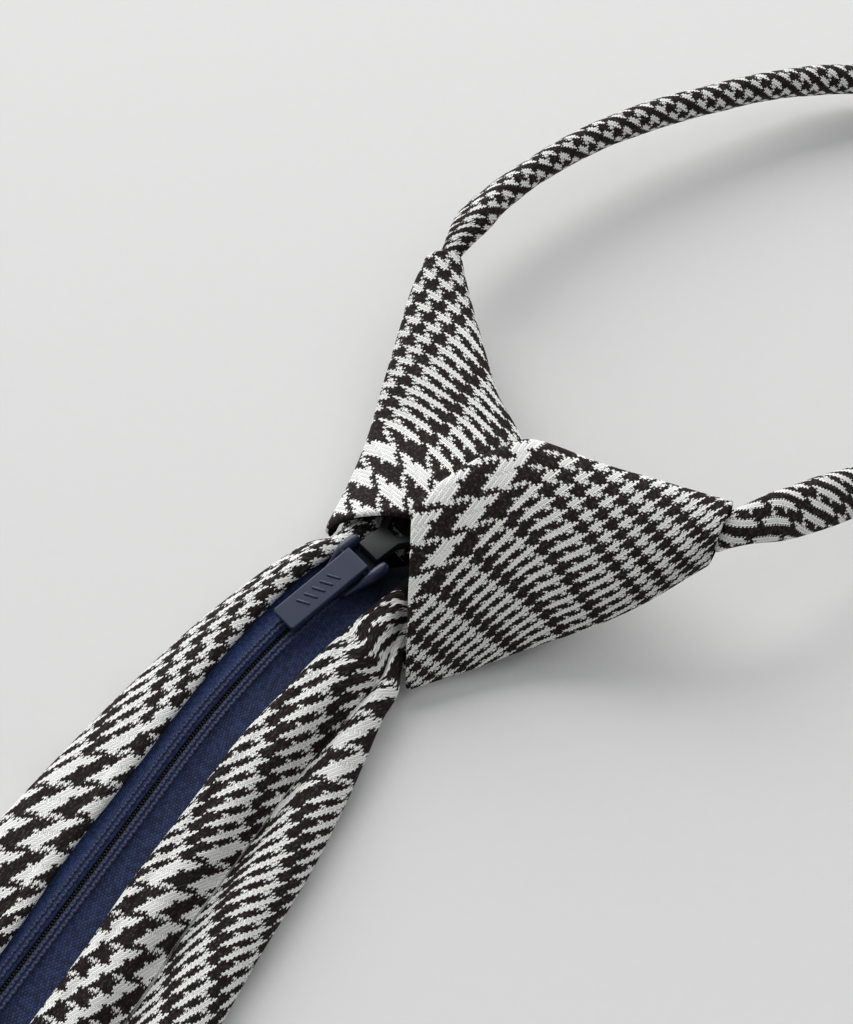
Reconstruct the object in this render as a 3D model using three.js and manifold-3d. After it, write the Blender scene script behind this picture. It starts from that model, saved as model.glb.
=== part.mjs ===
// Zipper tie, lying face down.
//
// The knot is a front wrap with two hollow cloth wings over its back. The neck loop runs from one
// wing tip to the other. A slider on a plastic clip sits in the mouth of the knot, and the closed
// zip runs down the back of the blade between two folded flaps.
//
// Lengths are in millimetres and +Z is up. The origin is the centre of the flat face that the
// knot rests on, and +Y points from the straight part of the blade toward the knot.

import * as THREE from 'three';
import { mergeVertices } from 'three/addons/utils/BufferGeometryUtils.js';
import Module from 'manifold-3d';

const wasm = await Module();
wasm.setup();

const { degToRad, lerp, smoothstep } = THREE.MathUtils;
const UP = new THREE.Vector3(0, 0, 1);

// Cloth, tape and the clearance that every two pieces keep
const CLOTH = 1.5;
const HEM = 2.2;
const TAPE = 0.8;
const GAP = 0.3;
const SEAM_GAP = 0.6;

// Knot, in a frame of its own: across, and along toward the neck
const KNOT_TURN = degToRad(-16);
const KNOT_SIZE = 50;
const KNOT_HEIGHT = 25;
const WING_WALL = 2.0;
const WING_TIP_WALL = 1.2;
const FRONT_THICKNESS = 3.0;
const FRONT_EDGE = 1.5;

// Blade and zip, measured along the zip line from the mouth of the knot
const BLADE_LENGTH = 456;
const BLADE_WIDTH = 72;
const FOLD_RISE = 10;
const EDGE_ROLL = 2.1;
const ZIP_LENGTH = 160;
const ZIP_LINE_X = -16.5;
const BEND_RADIUS = 157;
const BEND_ANGLE = degToRad(20);
const BEND_END_Y = -61.4;
const TAPE_TUCK = 4.5;
const TAPE_TUCK_DROP = 0.6;
const CHAIN_WIDTH = 4.0;
const CHAIN_THICKNESS = 1.2;
const CHAIN_SLOT = 0.7;
const CHAIN_DROP = 0.25;
const CHAIN_END = 4;

// Slider, pull and clip
const SLIDER_PLACE = 10;
const SLIDER_LENGTH = 10.4;
const SLIDER_WIDTH = 8.4;
const SLIDER_PLATE = 1.0;
const POST_RADIUS = 1.0;
const POST_PLACE = 2.8;
const LUG_WIDTH = 1.7;
const LUG_HEIGHT = 2.6;
const PULL_WIDTH = 5.3;
const PULL_LENGTH = 17.6;
const PULL_THICKNESS = 1.5;
const PULL_HEAD = 2.4;
const PULL_HEAD_END = 1.15;
const PULL_CORNER = 1.4;
const PULL_CHAMFER = 0.45;
const PULL_LIE = degToRad(6.5);
const PIN_FORWARD = 0.5;
const PIN_RADIUS = 0.55;
const PIN_CLEARANCE = 0.25;
const CLIP_LENGTH = 5.8;
const CLIP_WIDTH = 4.8;
const CLIP_THICKNESS = 2.0;
const CLIP_ARM = 1.5;
const CLIP_ARM_REACH = 8;
const CLIP_SPREAD = degToRad(30);
const CLIP_BASE_WIDTH = 11;
const CLIP_BASE = 3;
const CLIP_OVERLAP = 1.6;

// Neck loop, a flattened stuffed tube
const BAND_WIDTH = 8.8;
const BAND_THICKNESS = 5.6;
const BAND_TUCK = 1.6;
const BAND_NECK = 14;
const LOOP_SPAN = 106;
const LOOP_REACH = 126;

function table(columns, rows) {
  return rows.map((row) => Object.fromEntries(columns.map((name, i) => [name, row[i]])));
}

// Places across and along are shares of the knot's size, heights are shares of its height. A row
// is one section from the outer edge to the inner edge, with the half heights above and below the
// line between them, and how far the cloth wraps round each edge, in degrees from the crown.
const WING_COLUMNS = ['along', 'outer_across', 'outer_along', 'inner_across', 'inner_along',
  'outer_height', 'inner_height', 'crown', 'belly', 'inner_wrap', 'outer_wrap'];
const LEFT_WING = table(WING_COLUMNS, [
  [0.00, -0.340, -0.324, -0.010, -0.110, 0.19, 0.57, 0.24, 0.12, 95, 95],
  [0.17, -0.434, -0.130, 0.020, 0.120, 0.19, 0.59, 0.25, 0.12, 95, 95],
  [0.36, -0.535, 0.050, 0.000, 0.350, 0.21, 0.58, 0.24, 0.12, 105, 110],
  [0.54, -0.662, 0.240, -0.280, 0.480, 0.27, 0.54, 0.22, 0.12, 130, 130],
  [0.73, -0.785, 0.430, -0.560, 0.640, 0.36, 0.54, 0.19, 0.12, 150, 150],
  [0.89, -0.885, 0.590, -0.725, 0.735, 0.46, 0.58, 0.155, 0.13, 168, 168],
  [1.00, -0.940, 0.710, -0.815, 0.790, 0.54, 0.63, 0.13, 0.13, 168, 168],
]);
const RIGHT_WING = table(WING_COLUMNS, [
  [0.00, 0.326, -0.520, -0.064, -0.136, 0.13, 0.83, 0.20, 0.12, 120, 100],
  [0.19, 0.410, -0.320, -0.050, 0.100, 0.14, 0.85, 0.21, 0.12, 120, 100],
  [0.40, 0.510, -0.100, 0.000, 0.330, 0.22, 0.83, 0.22, 0.12, 125, 110],
  [0.58, 0.620, 0.090, 0.250, 0.460, 0.36, 0.83, 0.22, 0.12, 140, 130],
  [0.76, 0.710, 0.250, 0.470, 0.550, 0.56, 0.90, 0.19, 0.12, 155, 150],
  [0.90, 0.765, 0.370, 0.630, 0.610, 0.74, 0.96, 0.180, 0.13, 168, 168],
  [1.00, 0.795, 0.450, 0.715, 0.640, 0.84, 1.00, 0.165, 0.14, 168, 168],
]);

// The front wrap, seen from the back: left and right ends of each row across the knot
const FRONT_WRAP = table(['along', 'left_across', 'left_along', 'right_across', 'right_along'], [
  [0.00, -0.290, -0.320, 0.255, -0.460],
  [0.12, -0.330, -0.260, 0.290, -0.400],
  [0.35, -0.410, -0.110, 0.350, -0.270],
  [0.60, -0.480, 0.040, 0.420, -0.110],
  [0.82, -0.450, 0.240, 0.430, 0.080],
  [0.94, -0.400, 0.340, 0.400, 0.200],
  [1.00, -0.340, 0.390, 0.350, 0.270],
]);

// Blade: places along are shares of its length, places across of its width, and heights of the
// fold's rise. The valley is the pleat on the right, and its depth runs from 0 to 1.
const BLADE = table(['along', 'left_edge', 'left_flap', 'right_flap', 'valley', 'right_edge',
  'lift', 'left_rise', 'right_rise', 'hump', 'outer_hump', 'depth'], [
  [0.000, -0.122, -0.066, 0.100, 0.150, 0.185, 0.33, 1.02, 0.98, 1.00, 0.72, 0.6],
  [0.015, -0.124, -0.067, 0.110, 0.165, 0.200, 0.33, 1.06, 1.02, 1.06, 0.72, 0.7],
  [0.024, -0.150, -0.067, 0.115, 0.185, 0.210, 0.33, 1.08, 1.04, 1.10, 0.72, 0.8],
  [0.034, -0.160, -0.067, 0.117, 0.215, 0.245, 0.31, 1.08, 1.05, 1.14, 0.72, 0.9],
  [0.044, -0.168, -0.067, 0.118, 0.243, 0.290, 0.28, 1.04, 1.02, 1.12, 0.76, 1.0],
  [0.055, -0.176, -0.067, 0.118, 0.250, 0.306, 0.23, 1.00, 1.00, 1.08, 0.78, 1.0],
  [0.075, -0.193, -0.066, 0.118, 0.252, 0.343, 0.13, 0.95, 0.95, 1.02, 0.78, 1.0],
  [0.101, -0.211, -0.065, 0.112, 0.256, 0.379, 0.04, 0.90, 0.90, 0.97, 0.78, 1.0],
  [0.132, -0.236, -0.070, 0.111, 0.256, 0.404, 0.00, 0.84, 0.84, 0.92, 0.76, 1.0],
  [0.167, -0.256, -0.074, 0.107, 0.254, 0.418, 0.00, 0.78, 0.78, 0.86, 0.74, 1.0],
  [0.202, -0.270, -0.063, 0.114, 0.264, 0.440, 0.00, 0.74, 0.74, 0.80, 0.72, 1.0],
  [0.241, -0.286, -0.054, 0.115, 0.270, 0.460, 0.00, 0.72, 0.72, 0.76, 0.70, 0.8],
  [0.296, -0.305, -0.050, 0.080, 0.280, 0.483, 0.00, 0.69, 0.69, 0.70, 0.66, 0.5],
  [0.362, -0.325, -0.048, 0.052, 0.275, 0.505, 0.00, 0.65, 0.65, 0.64, 0.61, 0.2],
  [0.430, -0.343, 0.003, 0.006, 0.270, 0.524, 0.00, 0.62, 0.62, 0.60, 0.57, 0.0],
  [0.526, -0.362, 0.022, 0.022, 0.280, 0.543, 0.00, 0.54, 0.54, 0.54, 0.52, 0.0],
  [0.658, -0.382, 0.045, 0.045, 0.300, 0.563, 0.00, 0.49, 0.49, 0.49, 0.48, 0.0],
  [0.789, -0.397, 0.066, 0.066, 0.315, 0.577, 0.00, 0.46, 0.46, 0.46, 0.45, 0.0],
  [0.921, -0.410, 0.088, 0.088, 0.340, 0.590, 0.00, 0.43, 0.43, 0.43, 0.43, 0.0],
  [0.9605, -0.180, 0.089, 0.089, 0.240, 0.360, 0.00, 0.42, 0.42, 0.42, 0.42, 0.0],
  [0.992, 0.012, 0.090, 0.090, 0.130, 0.168, 0.00, 0.40, 0.40, 0.40, 0.40, 0.0],
  [1.000, 0.052, 0.090, 0.090, 0.110, 0.128, 0.00, 0.40, 0.40, 0.40, 0.40, 0.0],
]);

// Neck loop between the two wing tips: places are shares of its span and reach, heights are
// shares of the knot's height, and the lean is the tilt of the band's width toward the inside.
const LOOP = table(['across', 'reach', 'height', 'lean'], [
  [-0.419, 0.064, 0.62, 36],
  [-0.446, 0.125, 0.61, 50],
  [-0.465, 0.215, 0.60, 57],
  [-0.473, 0.334, 0.58, 57],
  [-0.463, 0.450, 0.54, 57],
  [-0.440, 0.560, 0.49, 57],
  [-0.412, 0.668, 0.43, 57],
  [-0.365, 0.780, 0.35, 57],
  [-0.282, 0.895, 0.26, 57],
  [-0.155, 0.975, 0.195, 57],
  [0.020, 1.000, 0.170, 57],
  [0.195, 0.970, 0.170, 57],
  [0.345, 0.875, 0.170, 57],
  [0.435, 0.735, 0.180, 57],
  [0.470, 0.580, 0.280, 55],
  [0.466, 0.430, 0.450, 50],
  [0.450, 0.300, 0.640, 45],
  [0.434, 0.195, 0.800, 40],
  [0.424, 0.100, 0.940, 34],
  [0.406, 0.028, 1.000, 28],
]);

// Reads a table at any share along it, by a cubic that never overshoots its rows
function readTable(rows, share) {
  const last = rows.length - 1;
  const found = rows.findIndex((row) => row.along > share);
  const i = Math.min(Math.max((found < 0 ? last : found) - 1, 0), last - 1);
  const span = rows[i + 1].along - rows[i].along;
  const t = (share - rows[i].along) / span;
  const rise = (name, k) => (rows[k + 1][name] - rows[k][name]) / (rows[k + 1].along - rows[k].along);
  const slope = (name, k) => {
    if (k === 0) return rise(name, 0);
    if (k === last) return rise(name, last - 1);
    const before = rise(name, k - 1);
    const after = rise(name, k);
    return before * after <= 0 ? 0 : (2 * before * after) / (before + after);
  };
  const result = {};
  for (const name of Object.keys(rows[0])) {
    const from = rows[i][name];
    const to = rows[i + 1][name];
    result[name] = from * (1 + 2 * t) * (1 - t) ** 2 + to * t * t * (3 - 2 * t)
      + span * t * (1 - t) * (slope(name, i) * (1 - t) - slope(name, i + 1) * t);
  }
  return result;
}

// Stations at every row of a table, with more between rows that lie further apart than a step
function stations(rows, step) {
  const shares = [rows[0].along];
  for (let i = 1; i < rows.length; i += 1) {
    const span = rows[i].along - rows[i - 1].along;
    const parts = Math.max(1, Math.ceil(span / step));
    for (let k = 1; k <= parts; k += 1) shares.push(rows[i - 1].along + (span * k) / parts);
  }
  return shares;
}

function knotPoint(across, along, height) {
  return new THREE.Vector3(across, along, height).applyAxisAngle(UP, KNOT_TURN);
}

// How far the zip line is still turned from the straight part, at a distance along it
function zipTurn(along) {
  return Math.max(BEND_ANGLE - along / BEND_RADIUS, 0);
}

function zipPoint(along, across, height) {
  const turn = zipTurn(along);
  const straight = Math.max(along - BEND_RADIUS * BEND_ANGLE, 0);
  const reach = BEND_RADIUS - across;
  return new THREE.Vector3(
    ZIP_LINE_X + BEND_RADIUS - reach * Math.cos(turn),
    BEND_END_Y + reach * Math.sin(turn) - straight,
    height,
  );
}

// Builds a closed geometry from points and faces, and turns it so that its faces point out
function closedGeometry(points, faces) {
  const volume = faces.reduce((sum, [a, b, c]) => (
    sum + points[a].dot(new THREE.Vector3().crossVectors(points[b], points[c]))), 0);
  const index = faces.flatMap(([a, b, c]) => (volume < 0 ? [a, c, b] : [a, b, c]));
  const geometry = new THREE.BufferGeometry();
  geometry.setAttribute('position', new THREE.Float32BufferAttribute(
    points.flatMap((point) => point.toArray()), 3));
  geometry.setIndex(index);
  return geometry;
}

function quad(a, b, c, d) {
  return [[a, b, c], [a, c, d]];
}

// A sheet with thickness: two grids of points, one for each side, joined all round their border
function sheet(outside, inside) {
  const rows = outside.length;
  const columns = outside[0].length;
  const points = [...outside.flat(), ...inside.flat()];
  const outer = (i, j) => i * columns + j;
  const inner = (i, j) => rows * columns + i * columns + j;
  const faces = [];
  for (let i = 0; i < rows - 1; i += 1) {
    for (let j = 0; j < columns - 1; j += 1) {
      faces.push(...quad(outer(i, j), outer(i, j + 1), outer(i + 1, j + 1), outer(i + 1, j)));
      faces.push(...quad(inner(i, j), inner(i + 1, j), inner(i + 1, j + 1), inner(i, j + 1)));
    }
    const end = columns - 1;
    faces.push(...quad(outer(i, 0), outer(i + 1, 0), inner(i + 1, 0), inner(i, 0)));
    faces.push(...quad(outer(i, end), inner(i, end), inner(i + 1, end), outer(i + 1, end)));
  }
  for (let j = 0; j < columns - 1; j += 1) {
    const end = rows - 1;
    faces.push(...quad(outer(0, j), inner(0, j), inner(0, j + 1), outer(0, j + 1)));
    faces.push(...quad(outer(end, j), outer(end, j + 1), inner(end, j + 1), inner(end, j)));
  }
  return closedGeometry(points, faces);
}

// A solid through closed rings of as many points each, with a flat cap on each end
function loft(rings) {
  const count = rings[0].length;
  const points = rings.flat();
  const faces = [];
  for (let i = 0; i < rings.length - 1; i += 1) {
    for (let j = 0; j < count; j += 1) {
      const next = (j + 1) % count;
      faces.push(...quad(i * count + j, i * count + next, (i + 1) * count + next, (i + 1) * count + j));
    }
  }
  const top = (rings.length - 1) * count;
  for (let j = 1; j < count - 1; j += 1) {
    faces.push([0, j + 1, j]);
    faces.push([top, top + j, top + j + 1]);
  }
  return closedGeometry(points, faces);
}

function toSolid(geometry) {
  const bare = geometry.clone();
  bare.deleteAttribute('normal');
  bare.deleteAttribute('uv');
  const merged = mergeVertices(bare);
  return new wasm.Manifold(new wasm.Mesh({
    numProp: 3,
    vertProperties: new Float32Array(merged.attributes.position.array),
    triVerts: new Uint32Array(merged.index.array),
  }));
}

function toGeometry(solid) {
  const mesh = solid.getMesh();
  const geometry = new THREE.BufferGeometry();
  geometry.setAttribute('position', new THREE.BufferAttribute(mesh.vertProperties, 3));
  geometry.setIndex(new THREE.BufferAttribute(mesh.triVerts, 1));
  return geometry;
}

// Folds a line of points in a section into the two sides of a cloth wall
function wallSides(curve, count, thicknessAt) {
  const sides = { outside: [], inside: [] };
  for (let i = 0; i < count; i += 1) {
    const share = i / (count - 1);
    const point = curve.getPoint(share);
    const tangent = curve.getTangent(share);
    const half = thicknessAt(share) / 2;
    sides.outside.push([point.x + tangent.y * half, point.y - tangent.x * half]);
    sides.inside.push([point.x - tangent.y * half, point.y + tangent.x * half]);
  }
  return sides;
}

// The blade's section at a row: from the left flap's hem round the front panel and the pleat to
// the right flap's hem
function bladeSection(row) {
  const across = (share) => share * BLADE_WIDTH;
  const height = (share) => share * FOLD_RISE;
  const floor = height(row.lift) + CLOTH / 2;
  const leftFlap = across(row.left_flap) - SEAM_GAP / 2;
  const rightFlap = across(row.right_flap) + SEAM_GAP / 2;
  const leftTop = height(row.left_rise) - HEM / 2;
  const rightTop = height(row.right_rise) - HEM / 2;
  const left = across(row.left_edge);
  const right = across(row.right_edge);
  const outerTop = height(row.outer_hump) - CLOTH / 2;
  const leftRoll = Math.min(EDGE_ROLL, (leftTop - floor) / 2);
  const rightRoll = Math.min(EDGE_ROLL, (outerTop - floor) / 2, (right - across(row.valley)) / 2);
  const hump = height(row.hump) - CLOTH / 2;
  const lowest = floor + CLOTH + GAP;
  const valley = lerp(Math.min(hump, outerTop), lowest, row.depth);
  const points = [
    [leftFlap, leftTop],
    [lerp(leftFlap, left, 0.45), lerp(leftTop, floor + 2 * leftRoll, 0.3)],
    [left + leftRoll, floor + 2 * leftRoll],
    [left, floor + leftRoll],
    [left + leftRoll, floor],
    [lerp(left, right, 0.35), floor],
    [lerp(left, right, 0.65), floor],
    [right - rightRoll, floor],
    [right, floor + rightRoll],
    [right - rightRoll, Math.max(floor + 2 * rightRoll, lerp(floor, outerTop, 0.9))],
    [lerp(across(row.valley), right, 0.4), lerp(valley, outerTop, 0.85)],
    [across(row.valley), valley],
    [lerp(rightFlap, across(row.valley), 0.55), hump],
    [rightFlap, rightTop],
  ];
  return new THREE.CatmullRomCurve3(points.map(([u, z]) => new THREE.Vector3(u, z, 0)), false,
    'centripetal');
}

function blade() {
  const SECTION_POINTS = 27;
  const STATION_STEP = 0.07;
  const HEM_SHARE = 0.06;
  const thickness = (share) => (share < HEM_SHARE || share > 1 - HEM_SHARE ? HEM : CLOTH);
  const outside = [];
  const inside = [];
  for (const share of stations(BLADE, STATION_STEP)) {
    const sides = wallSides(bladeSection(readTable(BLADE, share)), SECTION_POINTS, thickness);
    const place = ([across, height]) => (
      zipPoint(share * BLADE_LENGTH, across, Math.max(height, 0)));
    outside.push(sides.outside.map(place));
    inside.push(sides.inside.map(place));
  }
  return sheet(outside, inside);
}

// A section of a wing at a row: half of it is an ellipse above the line between its two edges,
// half below, and the cloth wraps only as far round each edge as the row says
function wingSide(row, wall, inset) {
  const POINTS = 19;
  const outer = knotPoint(row.outer_across * KNOT_SIZE, row.outer_along * KNOT_SIZE,
    row.outer_height * KNOT_HEIGHT);
  const inner = knotPoint(row.inner_across * KNOT_SIZE, row.inner_along * KNOT_SIZE,
    row.inner_height * KNOT_HEIGHT);
  const middle = new THREE.Vector3().lerpVectors(outer, inner, 0.5);
  const reach = new THREE.Vector3().subVectors(inner, middle);
  const width = Math.hypot(reach.x, reach.y);
  reach.multiplyScalar((width - inset * wall) / width);
  const side = [];
  for (let i = 0; i < POINTS; i += 1) {
    const angle = degToRad(lerp(90 - row.inner_wrap, 90 + row.outer_wrap, i / (POINTS - 1)));
    const half = Math.sin(angle) > 0 ? row.crown : row.belly;
    const point = middle.clone().addScaledVector(reach, Math.cos(angle));
    point.z += Math.sin(angle) * (half * KNOT_HEIGHT - inset * wall);
    side.push(point);
  }
  return side;
}

function wing(rows) {
  const STATION_STEP = 0.07;
  const outside = [];
  const inside = [];
  for (const share of stations(rows, STATION_STEP)) {
    const row = readTable(rows, share);
    const wall = lerp(WING_WALL, WING_TIP_WALL, smoothstep(share, 0.5, 1));
    outside.push(wingSide(row, wall, 0));
    inside.push(wingSide(row, wall, 1));
  }
  return sheet(outside, inside);
}

// The front wrap: a padded trapezoid with rounded sides, flat where the knot rests
function knotFront() {
  const STATION_STEP = 0.2;
  const ROUNDING = [0, 30, 60, 90];
  const rings = [];
  const ring = (row, inset, thickness) => {
    const ends = [[row.left_across, row.left_along], [row.right_across, row.right_along]]
      .map(([across, along]) => knotPoint(across * KNOT_SIZE, along * KNOT_SIZE, 0));
    const width = ends[0].distanceTo(ends[1]);
    const at = (distance, height) => (
      new THREE.Vector3().lerpVectors(ends[0], ends[1], distance / width).setZ(height));
    const edge = Math.min(FRONT_EDGE, thickness / 2);
    const middle = FRONT_THICKNESS / 2;
    const corner = (degrees, side, level) => at(
      side > 0 ? width - inset - edge * (1 - Math.cos(degToRad(degrees)))
        : inset + edge * (1 - Math.cos(degToRad(degrees))),
      middle + level * (thickness / 2 - edge + edge * Math.sin(degToRad(degrees))));
    return [
      ...ROUNDING.map((degrees) => corner(degrees, 1, 1)),
      ...[...ROUNDING].reverse().map((degrees) => corner(degrees, -1, 1)),
      ...ROUNDING.map((degrees) => corner(degrees, -1, -1)),
      ...[...ROUNDING].reverse().map((degrees) => corner(degrees, 1, -1)),
    ];
  };
  const shares = stations(FRONT_WRAP, STATION_STEP);
  shares.forEach((share, i) => {
    const atEnd = i === 0 || i === shares.length - 1;
    const row = readTable(FRONT_WRAP, share);
    rings.push(ring(row, atEnd ? FRONT_EDGE : 0, atEnd ? FRONT_THICKNESS - FRONT_EDGE : FRONT_THICKNESS));
  });
  return loft(rings);
}

// Heights of the zip at a distance along it: under the hems, and on top of its ridge. Through the
// slider the ridge is as high as the slider carries it, and then it settles on to the blade.
const sliderFloor = readTable(BLADE, SLIDER_PLACE / BLADE_LENGTH).lift * FOLD_RISE + CLOTH;
const sliderRidge = sliderFloor + SLIDER_PLATE + CHAIN_THICKNESS + TAPE + 3 * GAP;

function zipHeights(along) {
  const row = readTable(BLADE, Math.max(along, 0) / BLADE_LENGTH);
  const underHem = Math.min(row.left_rise, row.right_rise) * FOLD_RISE - HEM - GAP;
  const settle = smoothstep(along, SLIDER_PLACE + SLIDER_LENGTH * 0.7, 4 * SLIDER_LENGTH);
  return { row, underHem, ridgeTop: lerp(sliderRidge, underHem + TAPE, settle) };
}

// One zip tape: from under its flap's hem over the ridge to the slot above the chain. Above the
// slider the two tapes part.
function zipTape(side) {
  const STEPS = 22;
  const RIDGE_FOOT = 3.1;
  const RIDGE_CREST = 1.5;
  const PART_WIDTH = 4.2;
  const TUCK_SHARE = 0.42;
  const CROWDING = 1.3;
  const FOOT_SHARE = 0.25;
  const outside = [];
  const inside = [];
  for (let i = 0; i <= STEPS; i += 1) {
    const along = ZIP_LENGTH * (i / STEPS) ** CROWDING;
    const { row, underHem, ridgeTop } = zipHeights(along);
    const flap = (side < 0 ? row.left_flap : row.right_flap) * BLADE_WIDTH + (side * SEAM_GAP) / 2;
    const apart = PART_WIDTH * (1 - smoothstep(along, 0, SLIDER_PLACE));
    const room = Math.abs(row.left_edge - row.left_flap) * BLADE_WIDTH * TUCK_SHARE;
    const tuck = flap + side * Math.min(TAPE_TUCK, room);
    const foot = Math.min(RIDGE_FOOT + apart, Math.abs(flap) - GAP);
    const crest = Math.min(RIDGE_CREST + apart, foot - GAP);
    const slot = Math.min(CHAIN_SLOT / 2 + apart, crest - GAP);
    const profile = [
      [tuck, underHem - TAPE_TUCK_DROP],
      [flap, underHem],
      [side * foot, lerp(underHem, ridgeTop, FOOT_SHARE)],
      [side * crest, Math.min(ridgeTop, underHem + Math.abs(flap) - crest)],
      [side * slot, Math.min(ridgeTop - CHAIN_DROP, underHem + Math.abs(flap) - slot)],
    ];
    outside.push(profile.map(([across, top]) => zipPoint(along, across, top)));
    inside.push(profile.map(([across, top]) => zipPoint(along, across, top - TAPE)));
  }
  return sheet(outside, inside);
}

// The closed chain of coils, under the tapes
function zipChain() {
  const STEPS = 20;
  const CORNER = 0.35;
  const rings = [];
  for (let i = 0; i <= STEPS; i += 1) {
    const along = lerp(SLIDER_PLACE + GAP, ZIP_LENGTH - CHAIN_END, i / STEPS);
    const top = zipHeights(along).ridgeTop - TAPE - GAP - CHAIN_DROP;
    const half = CHAIN_WIDTH / 2;
    rings.push([
      [half, top - CORNER], [half - CORNER, top], [CORNER - half, top], [-half, top - CORNER],
      [-half, top - CHAIN_THICKNESS + CORNER], [CORNER - half, top - CHAIN_THICKNESS],
      [half - CORNER, top - CHAIN_THICKNESS], [half, top - CHAIN_THICKNESS + CORNER],
    ].map(([across, height]) => zipPoint(along, across, height)));
  }
  return loft(rings);
}

// Slider frame: local +Y points up the zip toward the knot, and local zero height is the floor
const sliderLevel = sliderFloor + GAP;
const plateGap = CHAIN_THICKNESS + TAPE + CHAIN_DROP + 3 * GAP;
const topPlateLevel = SLIDER_PLATE + plateGap;
const plateTop = topPlateLevel + SLIDER_PLATE;
const pinPlace = new THREE.Vector3(0, PIN_FORWARD, plateTop + GAP + PULL_HEAD / 2);

function sliderOutline() {
  const half = SLIDER_WIDTH / 2;
  const nose = SLIDER_LENGTH / 2;
  const shape = new THREE.Shape();
  shape.moveTo(-half * 0.66, -nose);
  shape.lineTo(half * 0.66, -nose);
  shape.quadraticCurveTo(half * 0.72, 0, half, nose * 0.35);
  shape.quadraticCurveTo(half, nose * 0.95, half * 0.55, nose);
  shape.quadraticCurveTo(0, nose * 0.72, -half * 0.55, nose);
  shape.quadraticCurveTo(-half, nose * 0.95, -half, nose * 0.35);
  shape.quadraticCurveTo(-half * 0.72, 0, -half * 0.66, -nose);
  return shape;
}

// A raised shoulder beside the pull: a rounded bulb at the nose that runs out toward the tail
function sliderLug(side) {
  const SIDES = 10;
  const LUG_SINK = 0.3;
  const LUG = table(['along', 'inward', 'width', 'height'], [
    [0.46, 0.005, 0.35, 0.45],
    [0.40, 0.002, 0.90, 0.92],
    [0.22, 0.000, 1.00, 1.00],
    [0.00, 0.006, 0.92, 0.80],
    [-0.22, 0.040, 0.60, 0.45],
    [-0.44, 0.090, 0.30, 0.20],
  ]);
  const inner = PULL_WIDTH / 2 + GAP + LUG_WIDTH / 2;
  const rings = LUG.map((row) => {
    const ring = [];
    for (let i = 0; i < SIDES; i += 1) {
      const angle = (2 * Math.PI * i) / SIDES;
      const half = (row.height * LUG_HEIGHT) / 2;
      ring.push(new THREE.Vector3(
        side * (inner - row.inward * SLIDER_WIDTH + (Math.cos(angle) * row.width * LUG_WIDTH) / 2),
        row.along * SLIDER_LENGTH,
        plateTop - LUG_SINK + half + Math.sin(angle) * half,
      ));
    }
    return ring;
  });
  return loft(rings);
}

function sliderBody() {
  const plate = new THREE.ExtrudeGeometry(sliderOutline(), {
    depth: SLIDER_PLATE, bevelEnabled: false, curveSegments: 5,
  });
  const topPlate = plate.clone().translate(0, 0, topPlateLevel);
  const post = new THREE.CylinderGeometry(POST_RADIUS, POST_RADIUS, plateGap + SLIDER_PLATE, 12)
    .rotateX(Math.PI / 2)
    .translate(0, POST_PLACE, plateTop / 2);
  const pinLength = PULL_WIDTH + 2 * GAP + LUG_WIDTH;
  const pin = new THREE.CylinderGeometry(PIN_RADIUS, PIN_RADIUS, pinLength, 12)
    .rotateZ(Math.PI / 2)
    .translate(pinPlace.x, pinPlace.y, pinPlace.z);
  const joined = [topPlate, post, sliderLug(-1), sliderLug(1), pin]
    .reduce((solid, piece) => solid.add(toSolid(piece)), toSolid(plate));
  return toGeometry(joined);
}

// The pull: a square head bored for the pin, and a flat tab with rounded far corners. Its own
// origin is the pin.
function zipPull() {
  const half = PULL_WIDTH / 2;
  const far = PULL_HEAD_END - PULL_LENGTH;
  const tab = new THREE.Shape();
  tab.moveTo(-half, -PULL_HEAD);
  tab.lineTo(-half, far + PULL_CORNER);
  tab.quadraticCurveTo(-half, far, -half + PULL_CORNER, far);
  tab.lineTo(half - PULL_CORNER, far);
  tab.quadraticCurveTo(half, far, half, far + PULL_CORNER);
  tab.lineTo(half, -PULL_HEAD);
  tab.closePath();
  const tabGeometry = new THREE.ExtrudeGeometry(tab, {
    depth: PULL_THICKNESS, bevelEnabled: false, curveSegments: 5,
  }).translate(0, 0, PULL_HEAD / 2 - PULL_THICKNESS);
  const profile = new THREE.Shape();
  profile.moveTo(PULL_HEAD_END, PULL_CHAMFER - PULL_HEAD / 2);
  profile.lineTo(PULL_HEAD_END, PULL_HEAD / 2 - PULL_CHAMFER);
  profile.lineTo(PULL_HEAD_END - PULL_CHAMFER, PULL_HEAD / 2);
  profile.lineTo(-PULL_HEAD - PULL_CHAMFER, PULL_HEAD / 2);
  profile.lineTo(-PULL_HEAD - PULL_CHAMFER, PULL_HEAD / 2 - PULL_THICKNESS);
  profile.lineTo(-PULL_HEAD / 3, -PULL_HEAD / 2);
  profile.lineTo(PULL_HEAD_END - PULL_CHAMFER, -PULL_HEAD / 2);
  profile.closePath();
  const head = new THREE.ExtrudeGeometry(profile, { depth: PULL_WIDTH, bevelEnabled: false })
    .rotateX(Math.PI / 2)
    .rotateZ(Math.PI / 2)
    .translate(-half, 0, 0);
  const bore = new THREE.CylinderGeometry(PIN_RADIUS + PIN_CLEARANCE, PIN_RADIUS + PIN_CLEARANCE,
    PULL_WIDTH + 2, 16).rotateZ(Math.PI / 2);
  return toGeometry(toSolid(tabGeometry).add(toSolid(head)).subtract(toSolid(bore)));
}

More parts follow.
